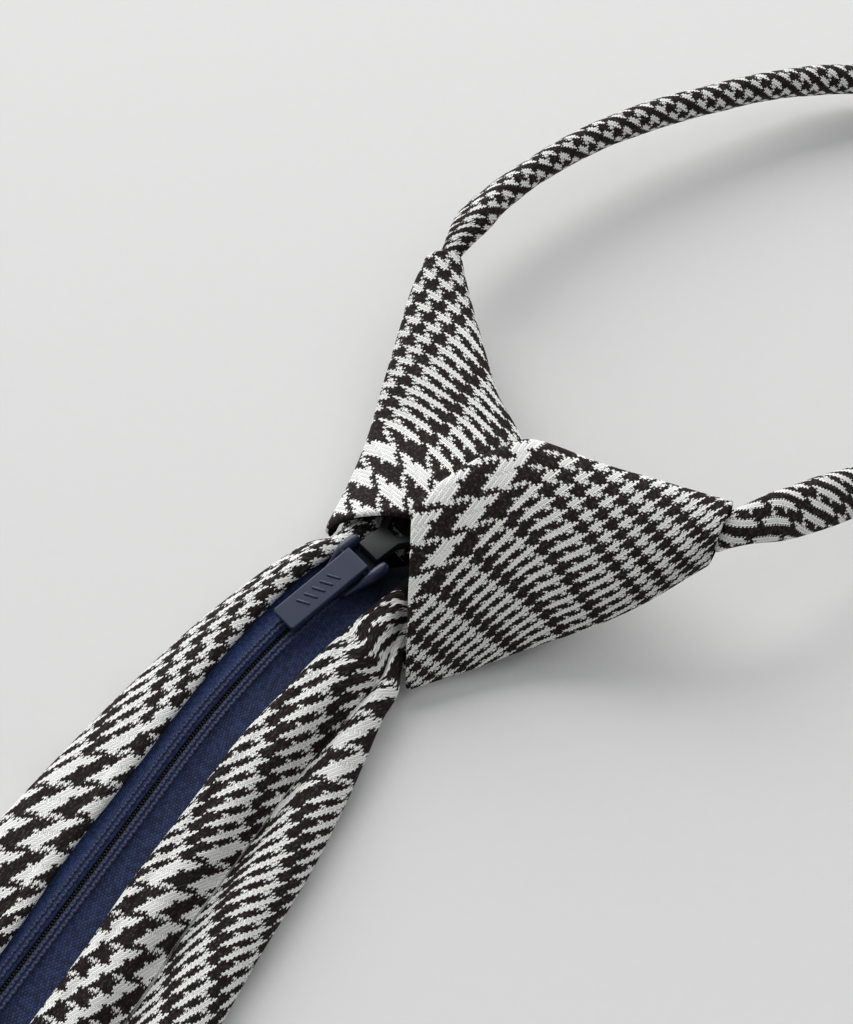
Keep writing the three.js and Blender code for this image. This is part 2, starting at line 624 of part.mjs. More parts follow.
// The clip: a square pad over the slider's nose, two arms that spread into the knot, and a plain
// hidden base that stands on the front wrap
function sliderClip() {
  const ARM_ROOT = 0.8;
  const padEnd = SLIDER_LENGTH / 2 - CLIP_OVERLAP;
  const padLevel = plateTop + GAP;
  const pad = new THREE.BoxGeometry(CLIP_WIDTH, CLIP_LENGTH, CLIP_THICKNESS)
    .translate(0, padEnd + CLIP_LENGTH / 2, padLevel + CLIP_THICKNESS / 2);
  let solid = toSolid(pad);
  for (const side of [-1, 1]) {
    const arm = new THREE.BoxGeometry(CLIP_ARM, CLIP_ARM_REACH, CLIP_THICKNESS)
      .translate(0, CLIP_ARM_REACH / 2 - ARM_ROOT, padLevel + CLIP_THICKNESS / 2)
      .rotateZ(-side * CLIP_SPREAD)
      .translate((side * (CLIP_WIDTH - CLIP_ARM)) / 2, padEnd + CLIP_LENGTH - ARM_ROOT, 0);
    solid = solid.add(toSolid(arm));
  }
  const baseHeight = padLevel + CLIP_THICKNESS + sliderLevel - FRONT_THICKNESS - GAP;
  const armEnd = padEnd + CLIP_LENGTH + (CLIP_ARM_REACH - ARM_ROOT) * Math.cos(CLIP_SPREAD);
  const base = new THREE.BoxGeometry(CLIP_BASE_WIDTH, CLIP_BASE, baseHeight)
    .translate(0, armEnd, padLevel + CLIP_THICKNESS - baseHeight / 2);
  return toGeometry(solid.add(toSolid(base)));
}

// Where the band enters a wing tip, which way it points and the room inside the tip
function wingTip(rows) {
  const row = rows[rows.length - 1];
  const before = readTable(rows, 0.9);
  const centre = (r) => knotPoint(
    ((r.outer_across + r.inner_across) / 2) * KNOT_SIZE,
    ((r.outer_along + r.inner_along) / 2) * KNOT_SIZE,
    ((r.outer_height + r.inner_height) / 2) * KNOT_HEIGHT);
  const room = Math.hypot(row.inner_across - row.outer_across, row.inner_along - row.outer_along)
    * KNOT_SIZE - 2 * WING_TIP_WALL - 2 * GAP;
  const depth = 2 * (Math.min(row.crown, row.belly) * KNOT_HEIGHT - WING_TIP_WALL - GAP);
  return { place: centre(row), out: centre(row).sub(centre(before)).normalize(), room, depth };
}

function neckLoop() {
  const STEPS = 66;
  const SIDES = 12;
  const SQUARENESS = 0.8;
  const LEFT_TIP_LEAN = 20;
  const RIGHT_TIP_LEAN = 23;
  const FIT = 0.64;
  const left = wingTip(LEFT_WING);
  const right = wingTip(RIGHT_WING);
  const chord = new THREE.Vector3().subVectors(right.place, left.place).setZ(0).normalize();
  const away = new THREE.Vector3().crossVectors(UP, chord);
  const middle = new THREE.Vector3().addVectors(left.place, right.place).multiplyScalar(0.5).setZ(0);
  const points = LOOP.map((row) => middle.clone()
    .addScaledVector(chord, row.across * LOOP_SPAN)
    .addScaledVector(away, row.reach * LOOP_REACH)
    .setZ(row.height * KNOT_HEIGHT));
  const leans = [LEFT_TIP_LEAN, ...LOOP.map((row) => row.lean), RIGHT_TIP_LEAN];
  const route = new THREE.CatmullRomCurve3([
    left.place.clone().addScaledVector(left.out, -BAND_TUCK),
    ...points,
    right.place.clone().addScaledVector(right.out, -BAND_TUCK),
  ], false, 'centripetal');
  const length = route.getLength();
  const centre = middle.clone().addScaledVector(away, LOOP_REACH / 2);
  const rings = [];
  for (let i = 0; i <= STEPS; i += 1) {
    const share = i / STEPS;
    const knot = route.getUtoTmapping(share) * (leans.length - 1);
    const k = Math.min(Math.floor(knot), leans.length - 2);
    const lean = degToRad(lerp(leans[k], leans[k + 1], knot - k));
    const point = route.getPointAt(share);
    const forward = route.getTangentAt(share);
    const side = new THREE.Vector3().crossVectors(forward, UP).normalize();
    if (side.dot(centre.clone().sub(point)) < 0) side.negate();
    const rise = new THREE.Vector3().crossVectors(side, forward).normalize();
    if (rise.z < 0) rise.negate();
    const wide = side.clone().multiplyScalar(Math.cos(lean)).addScaledVector(rise, Math.sin(lean));
    const thick = side.clone().multiplyScalar(-Math.sin(lean)).addScaledVector(rise, Math.cos(lean));
    const fromLeft = smoothstep(share * length, BAND_TUCK, BAND_NECK);
    const fromRight = smoothstep((1 - share) * length, BAND_TUCK, BAND_NECK);
    const width = Math.min(lerp(left.room * FIT, BAND_WIDTH, fromLeft),
      lerp(right.room * FIT, BAND_WIDTH, fromRight));
    const depth = Math.min(lerp(left.depth * FIT, BAND_THICKNESS, fromLeft),
      lerp(right.depth * FIT, BAND_THICKNESS, fromRight));
    const ring = [];
    for (let j = 0; j < SIDES; j += 1) {
      const angle = (2 * Math.PI * (j + 0.5)) / SIDES;
      const flat = (value) => Math.sign(value) * Math.abs(value) ** SQUARENESS;
      ring.push(point.clone()
        .addScaledVector(wide, (flat(Math.cos(angle)) * width) / 2)
        .addScaledVector(thick, (flat(Math.sin(angle)) * depth) / 2));
    }
    rings.push(ring);
  }
  return loft(rings);
}

function material(color, roughness, metalness = 0) {
  return new THREE.MeshStandardMaterial({ color, roughness, metalness });
}

function named(name, geometry, finish) {
  const mesh = new THREE.Mesh(geometry, finish);
  mesh.name = name;
  return mesh;
}

const checkedCloth = () => material(0x8a8782, 0.85);
const navyTape = () => material(0x2a3a6e, 0.9);
const navyPaint = () => material(0x353f62, 0.35, 0.2);

const group = new THREE.Group();
group.add(
  named('blade', blade(), checkedCloth()),
  named('wing_left', wing(LEFT_WING), checkedCloth()),
  named('wing_right', wing(RIGHT_WING), checkedCloth()),
  named('knot_front', knotFront(), checkedCloth()),
  named('neck_loop', neckLoop(), checkedCloth()),
  named('zip_tape_left', zipTape(-1), navyTape()),
  named('zip_tape_right', zipTape(1), navyTape()),
  named('zip_chain', zipChain(), material(0x14161c, 0.5)),
);

// Everything on the slider turns with the zip line where it sits
const slider = new THREE.Group();
slider.position.copy(zipPoint(SLIDER_PLACE, 0, sliderLevel));
slider.rotation.z = -zipTurn(SLIDER_PLACE);
slider.add(
  named('slider_body', sliderBody(), navyPaint()),
  named('slider_clip', sliderClip(), material(0x23262a, 0.45)),
);
const pull = named('zip_pull', zipPull(), navyPaint());
pull.position.copy(pinPlace);
pull.rotation.x = PULL_LIE;
slider.add(pull);
group.add(slider);

export default group;
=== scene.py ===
# %% [markdown]
# # A zipper tie, lying face down
#
# A zipper tie is sold with its knot already tied. A slider behind the knot runs on a zip down the
# back of the blade, and pulling it tightens the band round the neck. This scene dresses the packed
# part, which holds the sizes, and shows the back of the tie on a pale table.
#
# The blade, the wings of the knot and the tapes are thin walls of cloth, with a right side and a
# wrong side. The band and the knot's front are padded. Most of the lesson is about sweeping one
# section along a line, and about giving the cloth a weave that follows it. Numbers are in
# millimetres until a mesh is made, and the table and the lights are in metres.

import math

import bpy
import numpy as np
from mathutils import Matrix, Vector


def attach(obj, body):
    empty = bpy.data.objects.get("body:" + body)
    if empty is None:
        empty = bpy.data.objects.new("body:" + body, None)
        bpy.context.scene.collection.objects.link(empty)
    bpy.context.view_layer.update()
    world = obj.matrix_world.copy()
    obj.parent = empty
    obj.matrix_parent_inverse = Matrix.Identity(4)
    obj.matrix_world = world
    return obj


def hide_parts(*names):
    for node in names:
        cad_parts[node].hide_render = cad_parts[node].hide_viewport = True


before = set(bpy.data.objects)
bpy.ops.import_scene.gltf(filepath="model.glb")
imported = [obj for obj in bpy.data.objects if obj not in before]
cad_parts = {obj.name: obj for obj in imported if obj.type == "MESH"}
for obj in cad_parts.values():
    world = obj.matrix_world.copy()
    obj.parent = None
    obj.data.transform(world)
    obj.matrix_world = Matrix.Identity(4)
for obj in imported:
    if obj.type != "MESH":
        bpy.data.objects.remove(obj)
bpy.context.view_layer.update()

# %% [markdown]
# ## Camera
#
# The photograph looks down on the knot from the side of the blade. A long lens keeps the band
# from shrinking much with distance. The camera is an ordinary one, turned with `to_track_quat` so
# that its -Z axis runs through a point on the table.

# %% Camera
MM = 0.001
CAMERA_PLACE = (97.367, -164.740, 309.238)
CAMERA_AIM = (-9.052, 5.567, 0.0)
LENS = 70.0


def metres(point):
    return Vector(point) * MM


def added(name, data):
    """A new object in the scene."""
    thing = bpy.data.objects.new(name, data)
    bpy.context.scene.collection.objects.link(thing)
    return thing


camera_data = bpy.data.cameras.new("camera")
camera_data.lens = LENS
camera_data.sensor_width = 36.0
camera_data.clip_start = 0.01
camera = added("camera", camera_data)
camera.location = metres(CAMERA_PLACE)
sight = metres(CAMERA_AIM) - metres(CAMERA_PLACE)
camera.rotation_euler = sight.to_track_quat("-Z", "Y").to_euler()
bpy.context.scene.camera = camera
print(f"camera {sight.length:.3f} m from its aim")

# %% [markdown]
# ## Sizes and tables
#
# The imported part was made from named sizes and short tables. The same values are written here, so
# that the finely made cloth lies where the plain solids lie. A table holds one section on each
# row, and a row's first number is its place along the piece.
#
# Between two rows a table is read with a cubic whose slope is the harmonic mean of its
# neighbours. Such a curve never swings past its rows, which a plain spline does, and cloth that
# swings past its rows shows as a dent.

# %% Named sizes
CLOTH = 1.5
HEM = 2.2
TAPE = 0.8
GAP = 0.3
SEAM_GAP = 0.6

KNOT_TURN = math.radians(-16)
KNOT_SIZE = 50.0
KNOT_HEIGHT = 25.0
WING_WALL = 2.0
WING_TIP_WALL = 1.2
FRONT_THICKNESS = 3.0
FRONT_EDGE = 1.5

BLADE_LENGTH = 456.0
BLADE_WIDTH = 72.0
FOLD_RISE = 10.0
EDGE_ROLL = 2.1
ZIP_LENGTH = 160.0
ZIP_LINE_X = -16.5
BEND_RADIUS = 157.0
BEND_ANGLE = math.radians(20)
BEND_END_Y = -61.4
TAPE_TUCK = 4.5
TAPE_TUCK_DROP = 0.6
CHAIN_THICKNESS = 1.2
CHAIN_DROP = 0.25
CHAIN_END = 4.0

SLIDER_PLACE = 10.0
SLIDER_LENGTH = 10.4
SLIDER_WIDTH = 8.4
SLIDER_PLATE = 1.0
POST_RADIUS = 1.0
POST_PLACE = 2.8
LUG_WIDTH = 1.7
LUG_HEIGHT = 2.6
PULL_WIDTH = 5.3
PULL_LENGTH = 17.6
PULL_THICKNESS = 1.5
PULL_HEAD = 2.4
PULL_HEAD_END = 1.15
PULL_LIE = math.radians(6.5)
PIN_FORWARD = 0.5
PIN_RADIUS = 0.55

BAND_WIDTH = 8.8
BAND_THICKNESS = 5.6
BAND_TUCK = 1.6
BAND_NECK = 14.0
LOOP_SPAN = 106.0
LOOP_REACH = 126.0

# %% Tables of the knot, the blade and the neck loop
WING_COLUMNS = ("along", "outer_across", "outer_along", "inner_across", "inner_along",
                "outer_height", "inner_height", "crown", "belly", "inner_wrap", "outer_wrap")
LEFT_WING = (
    (0.00, -0.340, -0.324, -0.010, -0.110, 0.19, 0.57, 0.24, 0.12, 95, 95),
    (0.17, -0.434, -0.130, 0.020, 0.120, 0.19, 0.59, 0.25, 0.12, 95, 95),
    (0.36, -0.535, 0.050, 0.000, 0.350, 0.21, 0.58, 0.24, 0.12, 105, 110),
    (0.54, -0.662, 0.240, -0.280, 0.480, 0.27, 0.54, 0.22, 0.12, 130, 130),
    (0.73, -0.785, 0.430, -0.560, 0.640, 0.36, 0.54, 0.19, 0.12, 150, 150),
    (0.89, -0.885, 0.590, -0.725, 0.735, 0.46, 0.58, 0.155, 0.13, 168, 168),
    (1.00, -0.940, 0.710, -0.815, 0.790, 0.54, 0.63, 0.13, 0.13, 168, 168),
)
RIGHT_WING = (
    (0.00, 0.326, -0.520, -0.064, -0.136, 0.13, 0.83, 0.20, 0.12, 120, 100),
    (0.19, 0.410, -0.320, -0.050, 0.100, 0.14, 0.85, 0.21, 0.12, 120, 100),
    (0.40, 0.510, -0.100, 0.000, 0.330, 0.22, 0.83, 0.22, 0.12, 125, 110),
    (0.58, 0.620, 0.090, 0.250, 0.460, 0.36, 0.83, 0.22, 0.12, 140, 130),
    (0.76, 0.710, 0.250, 0.470, 0.550, 0.56, 0.90, 0.19, 0.12, 155, 150),
    (0.90, 0.765, 0.370, 0.630, 0.610, 0.74, 0.96, 0.180, 0.13, 168, 168),
    (1.00, 0.795, 0.450, 0.715, 0.640, 0.84, 1.00, 0.165, 0.14, 168, 168),
)
FRONT_COLUMNS = ("along", "left_across", "left_along", "right_across", "right_along")
FRONT_WRAP = (
    (0.00, -0.290, -0.320, 0.255, -0.460),
    (0.12, -0.330, -0.260, 0.290, -0.400),
    (0.35, -0.410, -0.110, 0.350, -0.270),
    (0.60, -0.480, 0.040, 0.420, -0.110),
    (0.82, -0.450, 0.240, 0.430, 0.080),
    (0.94, -0.400, 0.340, 0.400, 0.200),
    (1.00, -0.340, 0.390, 0.350, 0.270),
)
BLADE_COLUMNS = ("along", "left_edge", "left_flap", "right_flap", "valley", "right_edge",
                 "lift", "left_rise", "right_rise", "hump", "outer_hump", "depth")
BLADE = (
    (0.000, -0.122, -0.066, 0.100, 0.150, 0.185, 0.33, 1.02, 0.98, 1.00, 0.72, 0.6),
    (0.015, -0.124, -0.067, 0.110, 0.165, 0.200, 0.33, 1.06, 1.02, 1.06, 0.72, 0.7),
    (0.024, -0.150, -0.080, 0.115, 0.185, 0.210, 0.33, 1.08, 1.04, 1.10, 0.72, 0.8),
    (0.034, -0.160, -0.086, 0.117, 0.215, 0.245, 0.31, 1.08, 1.05, 1.14, 0.72, 0.9),
    (0.044, -0.168, -0.087, 0.118, 0.243, 0.290, 0.28, 1.04, 1.02, 1.12, 0.76, 1.0),
    (0.055, -0.176, -0.086, 0.118, 0.250, 0.306, 0.23, 1.00, 1.00, 1.08, 0.78, 1.0),
    (0.075, -0.193, -0.081, 0.118, 0.252, 0.343, 0.13, 0.95, 0.95, 1.02, 0.78, 1.0),
    (0.101, -0.211, -0.073, 0.112, 0.256, 0.379, 0.04, 0.90, 0.90, 0.97, 0.78, 1.0),
    (0.132, -0.236, -0.070, 0.111, 0.256, 0.404, 0.00, 0.84, 0.84, 0.92, 0.76, 1.0),
    (0.167, -0.256, -0.074, 0.107, 0.254, 0.418, 0.00, 0.78, 0.78, 0.86, 0.74, 1.0),
    (0.202, -0.270, -0.063, 0.114, 0.264, 0.440, 0.00, 0.74, 0.74, 0.80, 0.72, 1.0),
    (0.241, -0.286, -0.054, 0.115, 0.270, 0.460, 0.00, 0.72, 0.72, 0.76, 0.70, 0.8),
    (0.296, -0.305, -0.050, 0.080, 0.280, 0.483, 0.00, 0.69, 0.69, 0.70, 0.66, 0.5),
    (0.362, -0.325, -0.048, 0.052, 0.275, 0.505, 0.00, 0.65, 0.65, 0.64, 0.61, 0.2),
    (0.430, -0.343, 0.003, 0.006, 0.270, 0.524, 0.00, 0.62, 0.62, 0.60, 0.57, 0.0),
    (0.526, -0.362, 0.022, 0.022, 0.280, 0.543, 0.00, 0.54, 0.54, 0.54, 0.52, 0.0),
    (0.658, -0.382, 0.045, 0.045, 0.300, 0.563, 0.00, 0.49, 0.49, 0.49, 0.48, 0.0),
    (0.789, -0.397, 0.066, 0.066, 0.315, 0.577, 0.00, 0.46, 0.46, 0.46, 0.45, 0.0),
    (0.921, -0.410, 0.088, 0.088, 0.340, 0.590, 0.00, 0.43, 0.43, 0.43, 0.43, 0.0),
    (0.9605, -0.180, 0.089, 0.089, 0.240, 0.360, 0.00, 0.42, 0.42, 0.42, 0.42, 0.0),
    (0.992, 0.012, 0.090, 0.090, 0.130, 0.168, 0.00, 0.40, 0.40, 0.40, 0.40, 0.0),
    (1.000, 0.052, 0.090, 0.090, 0.110, 0.128, 0.00, 0.40, 0.40, 0.40, 0.40, 0.0),
)
LOOP = (
    (-0.419, 0.064, 0.62, 36),
    (-0.446, 0.125, 0.61, 50),
    (-0.465, 0.215, 0.60, 57),
    (-0.473, 0.334, 0.58, 57),
    (-0.463, 0.450, 0.54, 57),
    (-0.440, 0.560, 0.49, 57),
    (-0.412, 0.668, 0.43, 57),
    (-0.365, 0.780, 0.35, 57),
    (-0.282, 0.895, 0.26, 57),
    (-0.155, 0.975, 0.195, 57),
    (0.020, 1.000, 0.170, 57),
    (0.195, 0.970, 0.170, 57),
    (0.345, 0.875, 0.170, 57),
    (0.435, 0.735, 0.180, 57),
    (0.470, 0.580, 0.280, 55),
    (0.466, 0.430, 0.450, 50),
    (0.450, 0.300, 0.640, 45),
    (0.434, 0.195, 0.800, 40),
    (0.424, 0.100, 0.940, 34),
    (0.406, 0.028, 1.000, 28),
)


# %% Read a table, and draw a smooth line through points
def read_table(columns, rows, shares):
    rows = np.array(rows, float)
    place, values = rows[:, 0], rows[:, 1:]
    rise = np.diff(values, axis=0) / np.diff(place)[:, None]
    product, total = rise[:-1] * rise[1:], rise[:-1] + rise[1:]
    inner = np.where(product > 0, 2 * product / np.where(product > 0, total, 1), 0)
    slope = np.vstack([rise[:1], inner, rise[-1:]])
    shares = np.atleast_1d(np.asarray(shares, float))
    i = np.clip(np.searchsorted(place, shares, side="right") - 1, 0, len(place) - 2)
    span = (place[i + 1] - place[i])[:, None]
    t = (shares - place[i])[:, None] / span
    read = (values[i] * (1 + 2 * t) * (1 - t) ** 2 + values[i + 1] * t * t * (3 - 2 * t)
            + span * t * (1 - t) * (slope[i] * (1 - t) - slope[i + 1] * t))
    return {name: read[:, k] for k, name in enumerate(columns[1:])}


def smooth_line(points, places):
    """Points on the curve through `points`, at places counted in points: 1.5 is halfway between
    the second and the third. The knots are spaced by the root of the distance."""
    points = np.asarray(points, float)
    first = 2 * points[0] - points[1]
    last = 2 * points[-1] - points[-2]
    held = np.vstack([first[None], points, last[None]])
    k = np.clip(np.floor(places).astype(int), 0, len(points) - 2)
    t = (np.asarray(places) - k)[:, None]
    p0, p1, p2, p3 = held[k], held[k + 1], held[k + 2], held[k + 3]

    def step(a, b):
        return np.maximum(np.linalg.norm(b - a, axis=1), 1e-8)[:, None] ** 0.5

    d0, d1, d2 = step(p0, p1), step(p1, p2), step(p2, p3)
    m1 = ((p1 - p0) / d0 - (p2 - p0) / (d0 + d1) + (p2 - p1) / d1) * d1
    m2 = ((p2 - p1) / d1 - (p3 - p1) / (d1 + d2) + (p3 - p2) / d2) * d1
    return (p1 * (2 * t ** 3 - 3 * t ** 2 + 1) + p2 * (3 * t ** 2 - 2 * t ** 3)
            + m1 * (t ** 3 - 2 * t ** 2 + t) + m2 * (t ** 3 - t ** 2))


def lengths_along(points):
    steps = np.linalg.norm(np.diff(points, axis=0), axis=1)
    return np.concatenate([[0], np.cumsum(steps)])


def ease(value, low, high):
    t = np.clip((np.asarray(value, float) - low) / (high - low), 0, 1)
    return t * t * (3 - 2 * t)


middle_row = read_table(BLADE_COLUMNS, BLADE, 0.5)
middle_width = (middle_row["right_edge"][0] - middle_row["left_edge"][0]) * BLADE_WIDTH
print(f"blade halfway down: {middle_width:.1f} mm wide")

# %% [markdown]
# ## Where things lie
#
# The knot is turned on the table, and the zip bends to follow it before it runs straight down the
# blade. Two small functions hold that, one for the knot and one for a place along the zip, and
# every piece uses them. The zip's ridge is as high as the slider carries it, then it settles on
# to the blade.


# %% The knot's frame and the zip's line
def knot_point(across, along, height):
    c, s = math.cos(KNOT_TURN), math.sin(KNOT_TURN)
    return np.stack([across * c - along * s, across * s + along * c, height + 0 * across], axis=-1)


def knot_place(row, side):
    """Where the columns whose names begin with `side` put a piece in the knot."""
    return knot_point(row[side + "_across"] * KNOT_SIZE, row[side + "_along"] * KNOT_SIZE,
                      row.get(side + "_height", 0.0) * KNOT_HEIGHT)


def zip_turn(along):
    return np.maximum(BEND_ANGLE - np.asarray(along, float) / BEND_RADIUS, 0)


def zip_point(along, across, height):
    turn = zip_turn(along)
    straight = np.maximum(along - BEND_RADIUS * BEND_ANGLE, 0)
    reach = BEND_RADIUS - across
    x = ZIP_LINE_X + BEND_RADIUS - reach * np.cos(turn)
    y = BEND_END_Y + reach * np.sin(turn) - straight
    return np.stack(np.broadcast_arrays(x, y, height), axis=-1)


slider_row = read_table(BLADE_COLUMNS, BLADE, SLIDER_PLACE / BLADE_LENGTH)
slider_floor = slider_row["lift"][0] * FOLD_RISE + CLOTH
slider_ridge = slider_floor + SLIDER_PLATE + CHAIN_THICKNESS + TAPE + 3 * GAP


def zip_heights(along):
    row = read_table(BLADE_COLUMNS, BLADE, np.maximum(along, 0) / BLADE_LENGTH)
    under_hem = np.minimum(row["left_rise"], row["right_rise"]) * FOLD_RISE - HEM - GAP
    settle = ease(along, SLIDER_PLACE + SLIDER_LENGTH * 0.7, 4 * SLIDER_LENGTH)
    ridge = slider_ridge + (under_hem + TAPE - slider_ridge) * settle
    return row, under_hem, ridge


print("zip ridge at the slider and at its end:",
      np.round(zip_heights(np.array([SLIDER_PLACE, ZIP_LENGTH]))[2], 2))

# %% [markdown]
# ## Building a mesh with a grain
#
# Cloth needs more than its shape: the weave has to follow it round each fold. So every mesh gets
# a UV map called `grain`. It starts as millimetres of cloth, measured over the surface itself, and
# the pieces of checked cloth turn those into the numbers of their yarns. A weave that is drawn
# from them looks squeezed where the cloth curves away, as real cloth does.
#
# A cloth wall's section is one closed ring: along the right side, round the hem, back along the
# wrong side and round the other hem. The ring's two ends are filled between the two sides.

# %% Meshes from rings
HEM_POINTS = 5


def signed_volume(points, faces):
    total = 0.0
    for face in faces:
        a = points[face[0]]
        for b, c in zip(face[1:-1], face[2:]):
            total += float(np.dot(a, np.cross(points[b], points[c])))
    return total


def solid_from_rings(name, rings, grain, wall_points=0, painted_shade_from=None):
    """rings is rows by points by 3 and grain is rows by points + 1 by 2, all in millimetres.
    wall_points is how many points each side of a cloth wall has, or 0 for a solid section."""
    rows, count = rings.shape[:2]
    points = rings.reshape(-1, 3)
    faces, corners = [], []
    for i in range(rows - 1):
        for j in range(count):
            k = (j + 1) % count
            faces.append((i * count + j, i * count + k, (i + 1) * count + k, (i + 1) * count + j))
            corners.append((grain[i, j], grain[i, j + 1], grain[i + 1, j + 1], grain[i + 1, j]))
    for row, turned in ((0, True), (rows - 1, False)):
        for end in end_faces(count, wall_points):
            end = end[::-1] if turned else end
            faces.append(tuple(row * count + j for j in end))
            corners.append(tuple(grain[row, j] for j in end))
    side_faces = count * (rows - 1)
    if signed_volume(points, faces[:side_faces]) < 0:
        faces = [face[::-1] for face in faces]
        corners = [corner[::-1] for corner in corners]
    mesh = bpy.data.meshes.new(name)
    mesh.from_pydata((points * MM).tolist(), [], faces)
    grain_map = mesh.uv_layers.new(name="grain")
    grain_map.data.foreach_set("uv", np.concatenate([np.array(c).ravel() for c in corners]))
    mesh.shade_smooth()
    # The wrong side and the end faces take material 1, the near-black lining that is painted shade.
    if painted_shade_from is not None:
        first, last = painted_shade_from
        for polygon in mesh.polygons:
            inside = first <= polygon.vertices[0] % count <= last
            polygon.material_index = int(inside or polygon.index >= side_faces)
    return added(name, mesh)


def end_faces(count, wall_points):
    if not wall_points:
        return [tuple(range(count))]
    last = wall_points - 1
    opposite = [wall_points + HEM_POINTS + last - j for j in range(wall_points)]
    faces = [(j, j + 1, opposite[j + 1], opposite[j]) for j in range(last)]
    faces.append((last, *range(wall_points, wall_points + HEM_POINTS), opposite[last]))
    faces.append((opposite[0], *range(wall_points + HEM_POINTS + wall_points, count), 0))
    return faces


def wall_ring(right_side, wrong_side, hem_radius):
    """One closed section of a cloth wall, with rounded hems, from the two lines of its sides."""
    def turn_over(a, b, outward):
        centre, arm = (a + b) / 2, (a - b) / 2
        angles = np.pi * np.arange(1, HEM_POINTS + 1) / (HEM_POINTS + 1)
        return (centre + np.cos(angles)[:, None] * arm
                + np.sin(angles)[:, None] * outward * hem_radius)

    def unit(v):
        return v / max(np.linalg.norm(v), 1e-9)

    end = unit(right_side[-1] - right_side[-2] + wrong_side[-1] - wrong_side[-2])
    start = unit(right_side[0] - right_side[1] + wrong_side[0] - wrong_side[1])
    return np.vstack([right_side, turn_over(right_side[-1], wrong_side[-1], end),
                      wrong_side[::-1], turn_over(wrong_side[0], right_side[0], start)])


def grain_of(rings, along, start=0, turned_back=0):
    """Millimetres of cloth round each ring, counted from point number `start`, and along it. The
    last `turned_back` points are counted backward from the start, as the hem there is."""
    closed = np.concatenate([rings, rings[:, :1]], axis=1)
    steps = np.linalg.norm(np.diff(closed, axis=1), axis=2)
    across = np.concatenate([np.zeros((len(rings), 1)), np.cumsum(steps, axis=1)], axis=1)
    if turned_back:
        across[:, -turned_back - 1:] -= across[:, -1:].copy()
    across = across - across[:, start:start + 1]
    return np.stack([across, np.broadcast_to(np.asarray(along)[:, None], across.shape)], axis=2)


def yarn_numbers(grain, warp, weft, reach):
    """Which warp yarn and which weft yarn lie at each place of the cloth, as numbers with
    fractions. warp and weft are the terms 1, s, t, ss, st and tt of a curved count, and outside
    the reach the count goes on straight."""
    s, t = grain[..., 0], grain[..., 1]
    near_s, near_t = np.clip(s, *reach[0]), np.clip(t, *reach[1])
    numbers = []
    for one, by_s, by_t, by_ss, by_st, by_tt in (warp, weft):
        value = (one + by_s * near_s + by_t * near_t + by_ss * near_s ** 2
                 + by_st * near_s * near_t + by_tt * near_t ** 2)
        value += (by_s + 2 * by_ss * near_s + by_st * near_t) * (s - near_s)
        value += (by_t + by_st * near_s + 2 * by_tt * near_t) * (t - near_t)
        numbers.append(value)
    return np.stack(numbers, axis=-1)


# %% [markdown]
# ## Blade
#
# The blade is one folded tube: from the left flap's hem, out to the left edge, under the whole
# front, round the right edge, down into the pleat and up again to the right flap's hem. Its hems
# are turned in and pressed, and they read as a roll with a stitched groove beside it. The roll and
# the groove are moves of the right side alone, by the distance from the hem.

# %% Blade
BLADE_STEPS = (12, 7, 5, 5, 7, 9, 7, 5, 5, 6, 8, 10, 14)
HEM_ROLL = 1.9
HEM_PROUD = 0.22
HEM_GROOVE = 0.38
GROOVE_PLACE = HEM_ROLL + 0.25
GROOVE_HALF = 0.3
HEM_TURNED_IN = (1.6, 3.4)
CROWDING = 1.6
FRONT_TURN = (6.3, 7.3)
FLAP_REACH = ((-5, 150), (0, 95))
LEFT_FLAP_YARNS = ((23.9, -0.794, -0.376, 0, 0, 0), (-72.1, -1.388, 0.806, 0, 0, 0), FLAP_REACH)
RIGHT_FLAP_YARNS = ((14.9, -0.494, 0.770, -0.0006, -0.00233, -0.00532),
                    (-25.1, -1.725, 2.502, 0.00485, -0.00814, -0.00279), FLAP_REACH)
PLEAT_SHIFT = 30
PLEAT_PLACES = (10.92, 11.08)


def blade_key_points(row, i):
    get = {name: values[i] for name, values in row.items()}
    floor = get["lift"] * FOLD_RISE + CLOTH / 2
    left_flap = get["left_flap"] * BLADE_WIDTH - SEAM_GAP / 2
    right_flap = get["right_flap"] * BLADE_WIDTH + SEAM_GAP / 2
    left_top = get["left_rise"] * FOLD_RISE - HEM / 2
    right_top = get["right_rise"] * FOLD_RISE - HEM / 2
    left, right = get["left_edge"] * BLADE_WIDTH, get["right_edge"] * BLADE_WIDTH
    valley_across = get["valley"] * BLADE_WIDTH
    outer_top = get["outer_hump"] * FOLD_RISE - CLOTH / 2
    left_roll = min(EDGE_ROLL, (left_top - floor) / 2)
    right_roll = min(EDGE_ROLL, (outer_top - floor) / 2, (right - valley_across) / 2)
    hump = get["hump"] * FOLD_RISE - CLOTH / 2
    lowest = floor + CLOTH + GAP
    valley = min(hump, outer_top) + (lowest - min(hump, outer_top)) * get["depth"]

    def mix(a, b, t):
        return a + (b - a) * t

    return np.array([
        (left_flap, left_top),
        (mix(left_flap, left, 0.45), mix(left_top, floor + 2 * left_roll, 0.3)),
        (left + left_roll, floor + 2 * left_roll),
        (left, floor + left_roll),
        (left + left_roll, floor),
        (mix(left, right, 0.35), floor),
        (mix(left, right, 0.65), floor),
        (right - right_roll, floor),
        (right, floor + right_roll),
        (right - right_roll, max(floor + 2 * right_roll, mix(floor, outer_top, 0.9))),
        (mix(valley_across, right, 0.4), mix(valley, outer_top, 0.85)),
        (valley_across, valley),
        (mix(right_flap, valley_across, 0.55), hump),
        (right_flap, right_top),
    ])


def blade_places():
    places = []
    for k, steps in enumerate(BLADE_STEPS):
        t = np.arange(steps) / steps
        if k == 0:
            t = t ** CROWDING
        if k == len(BLADE_STEPS) - 1:
            t = 1 - (1 - t) ** CROWDING
        places.append(k + t)
    return np.concatenate(places + [[len(BLADE_STEPS)]])


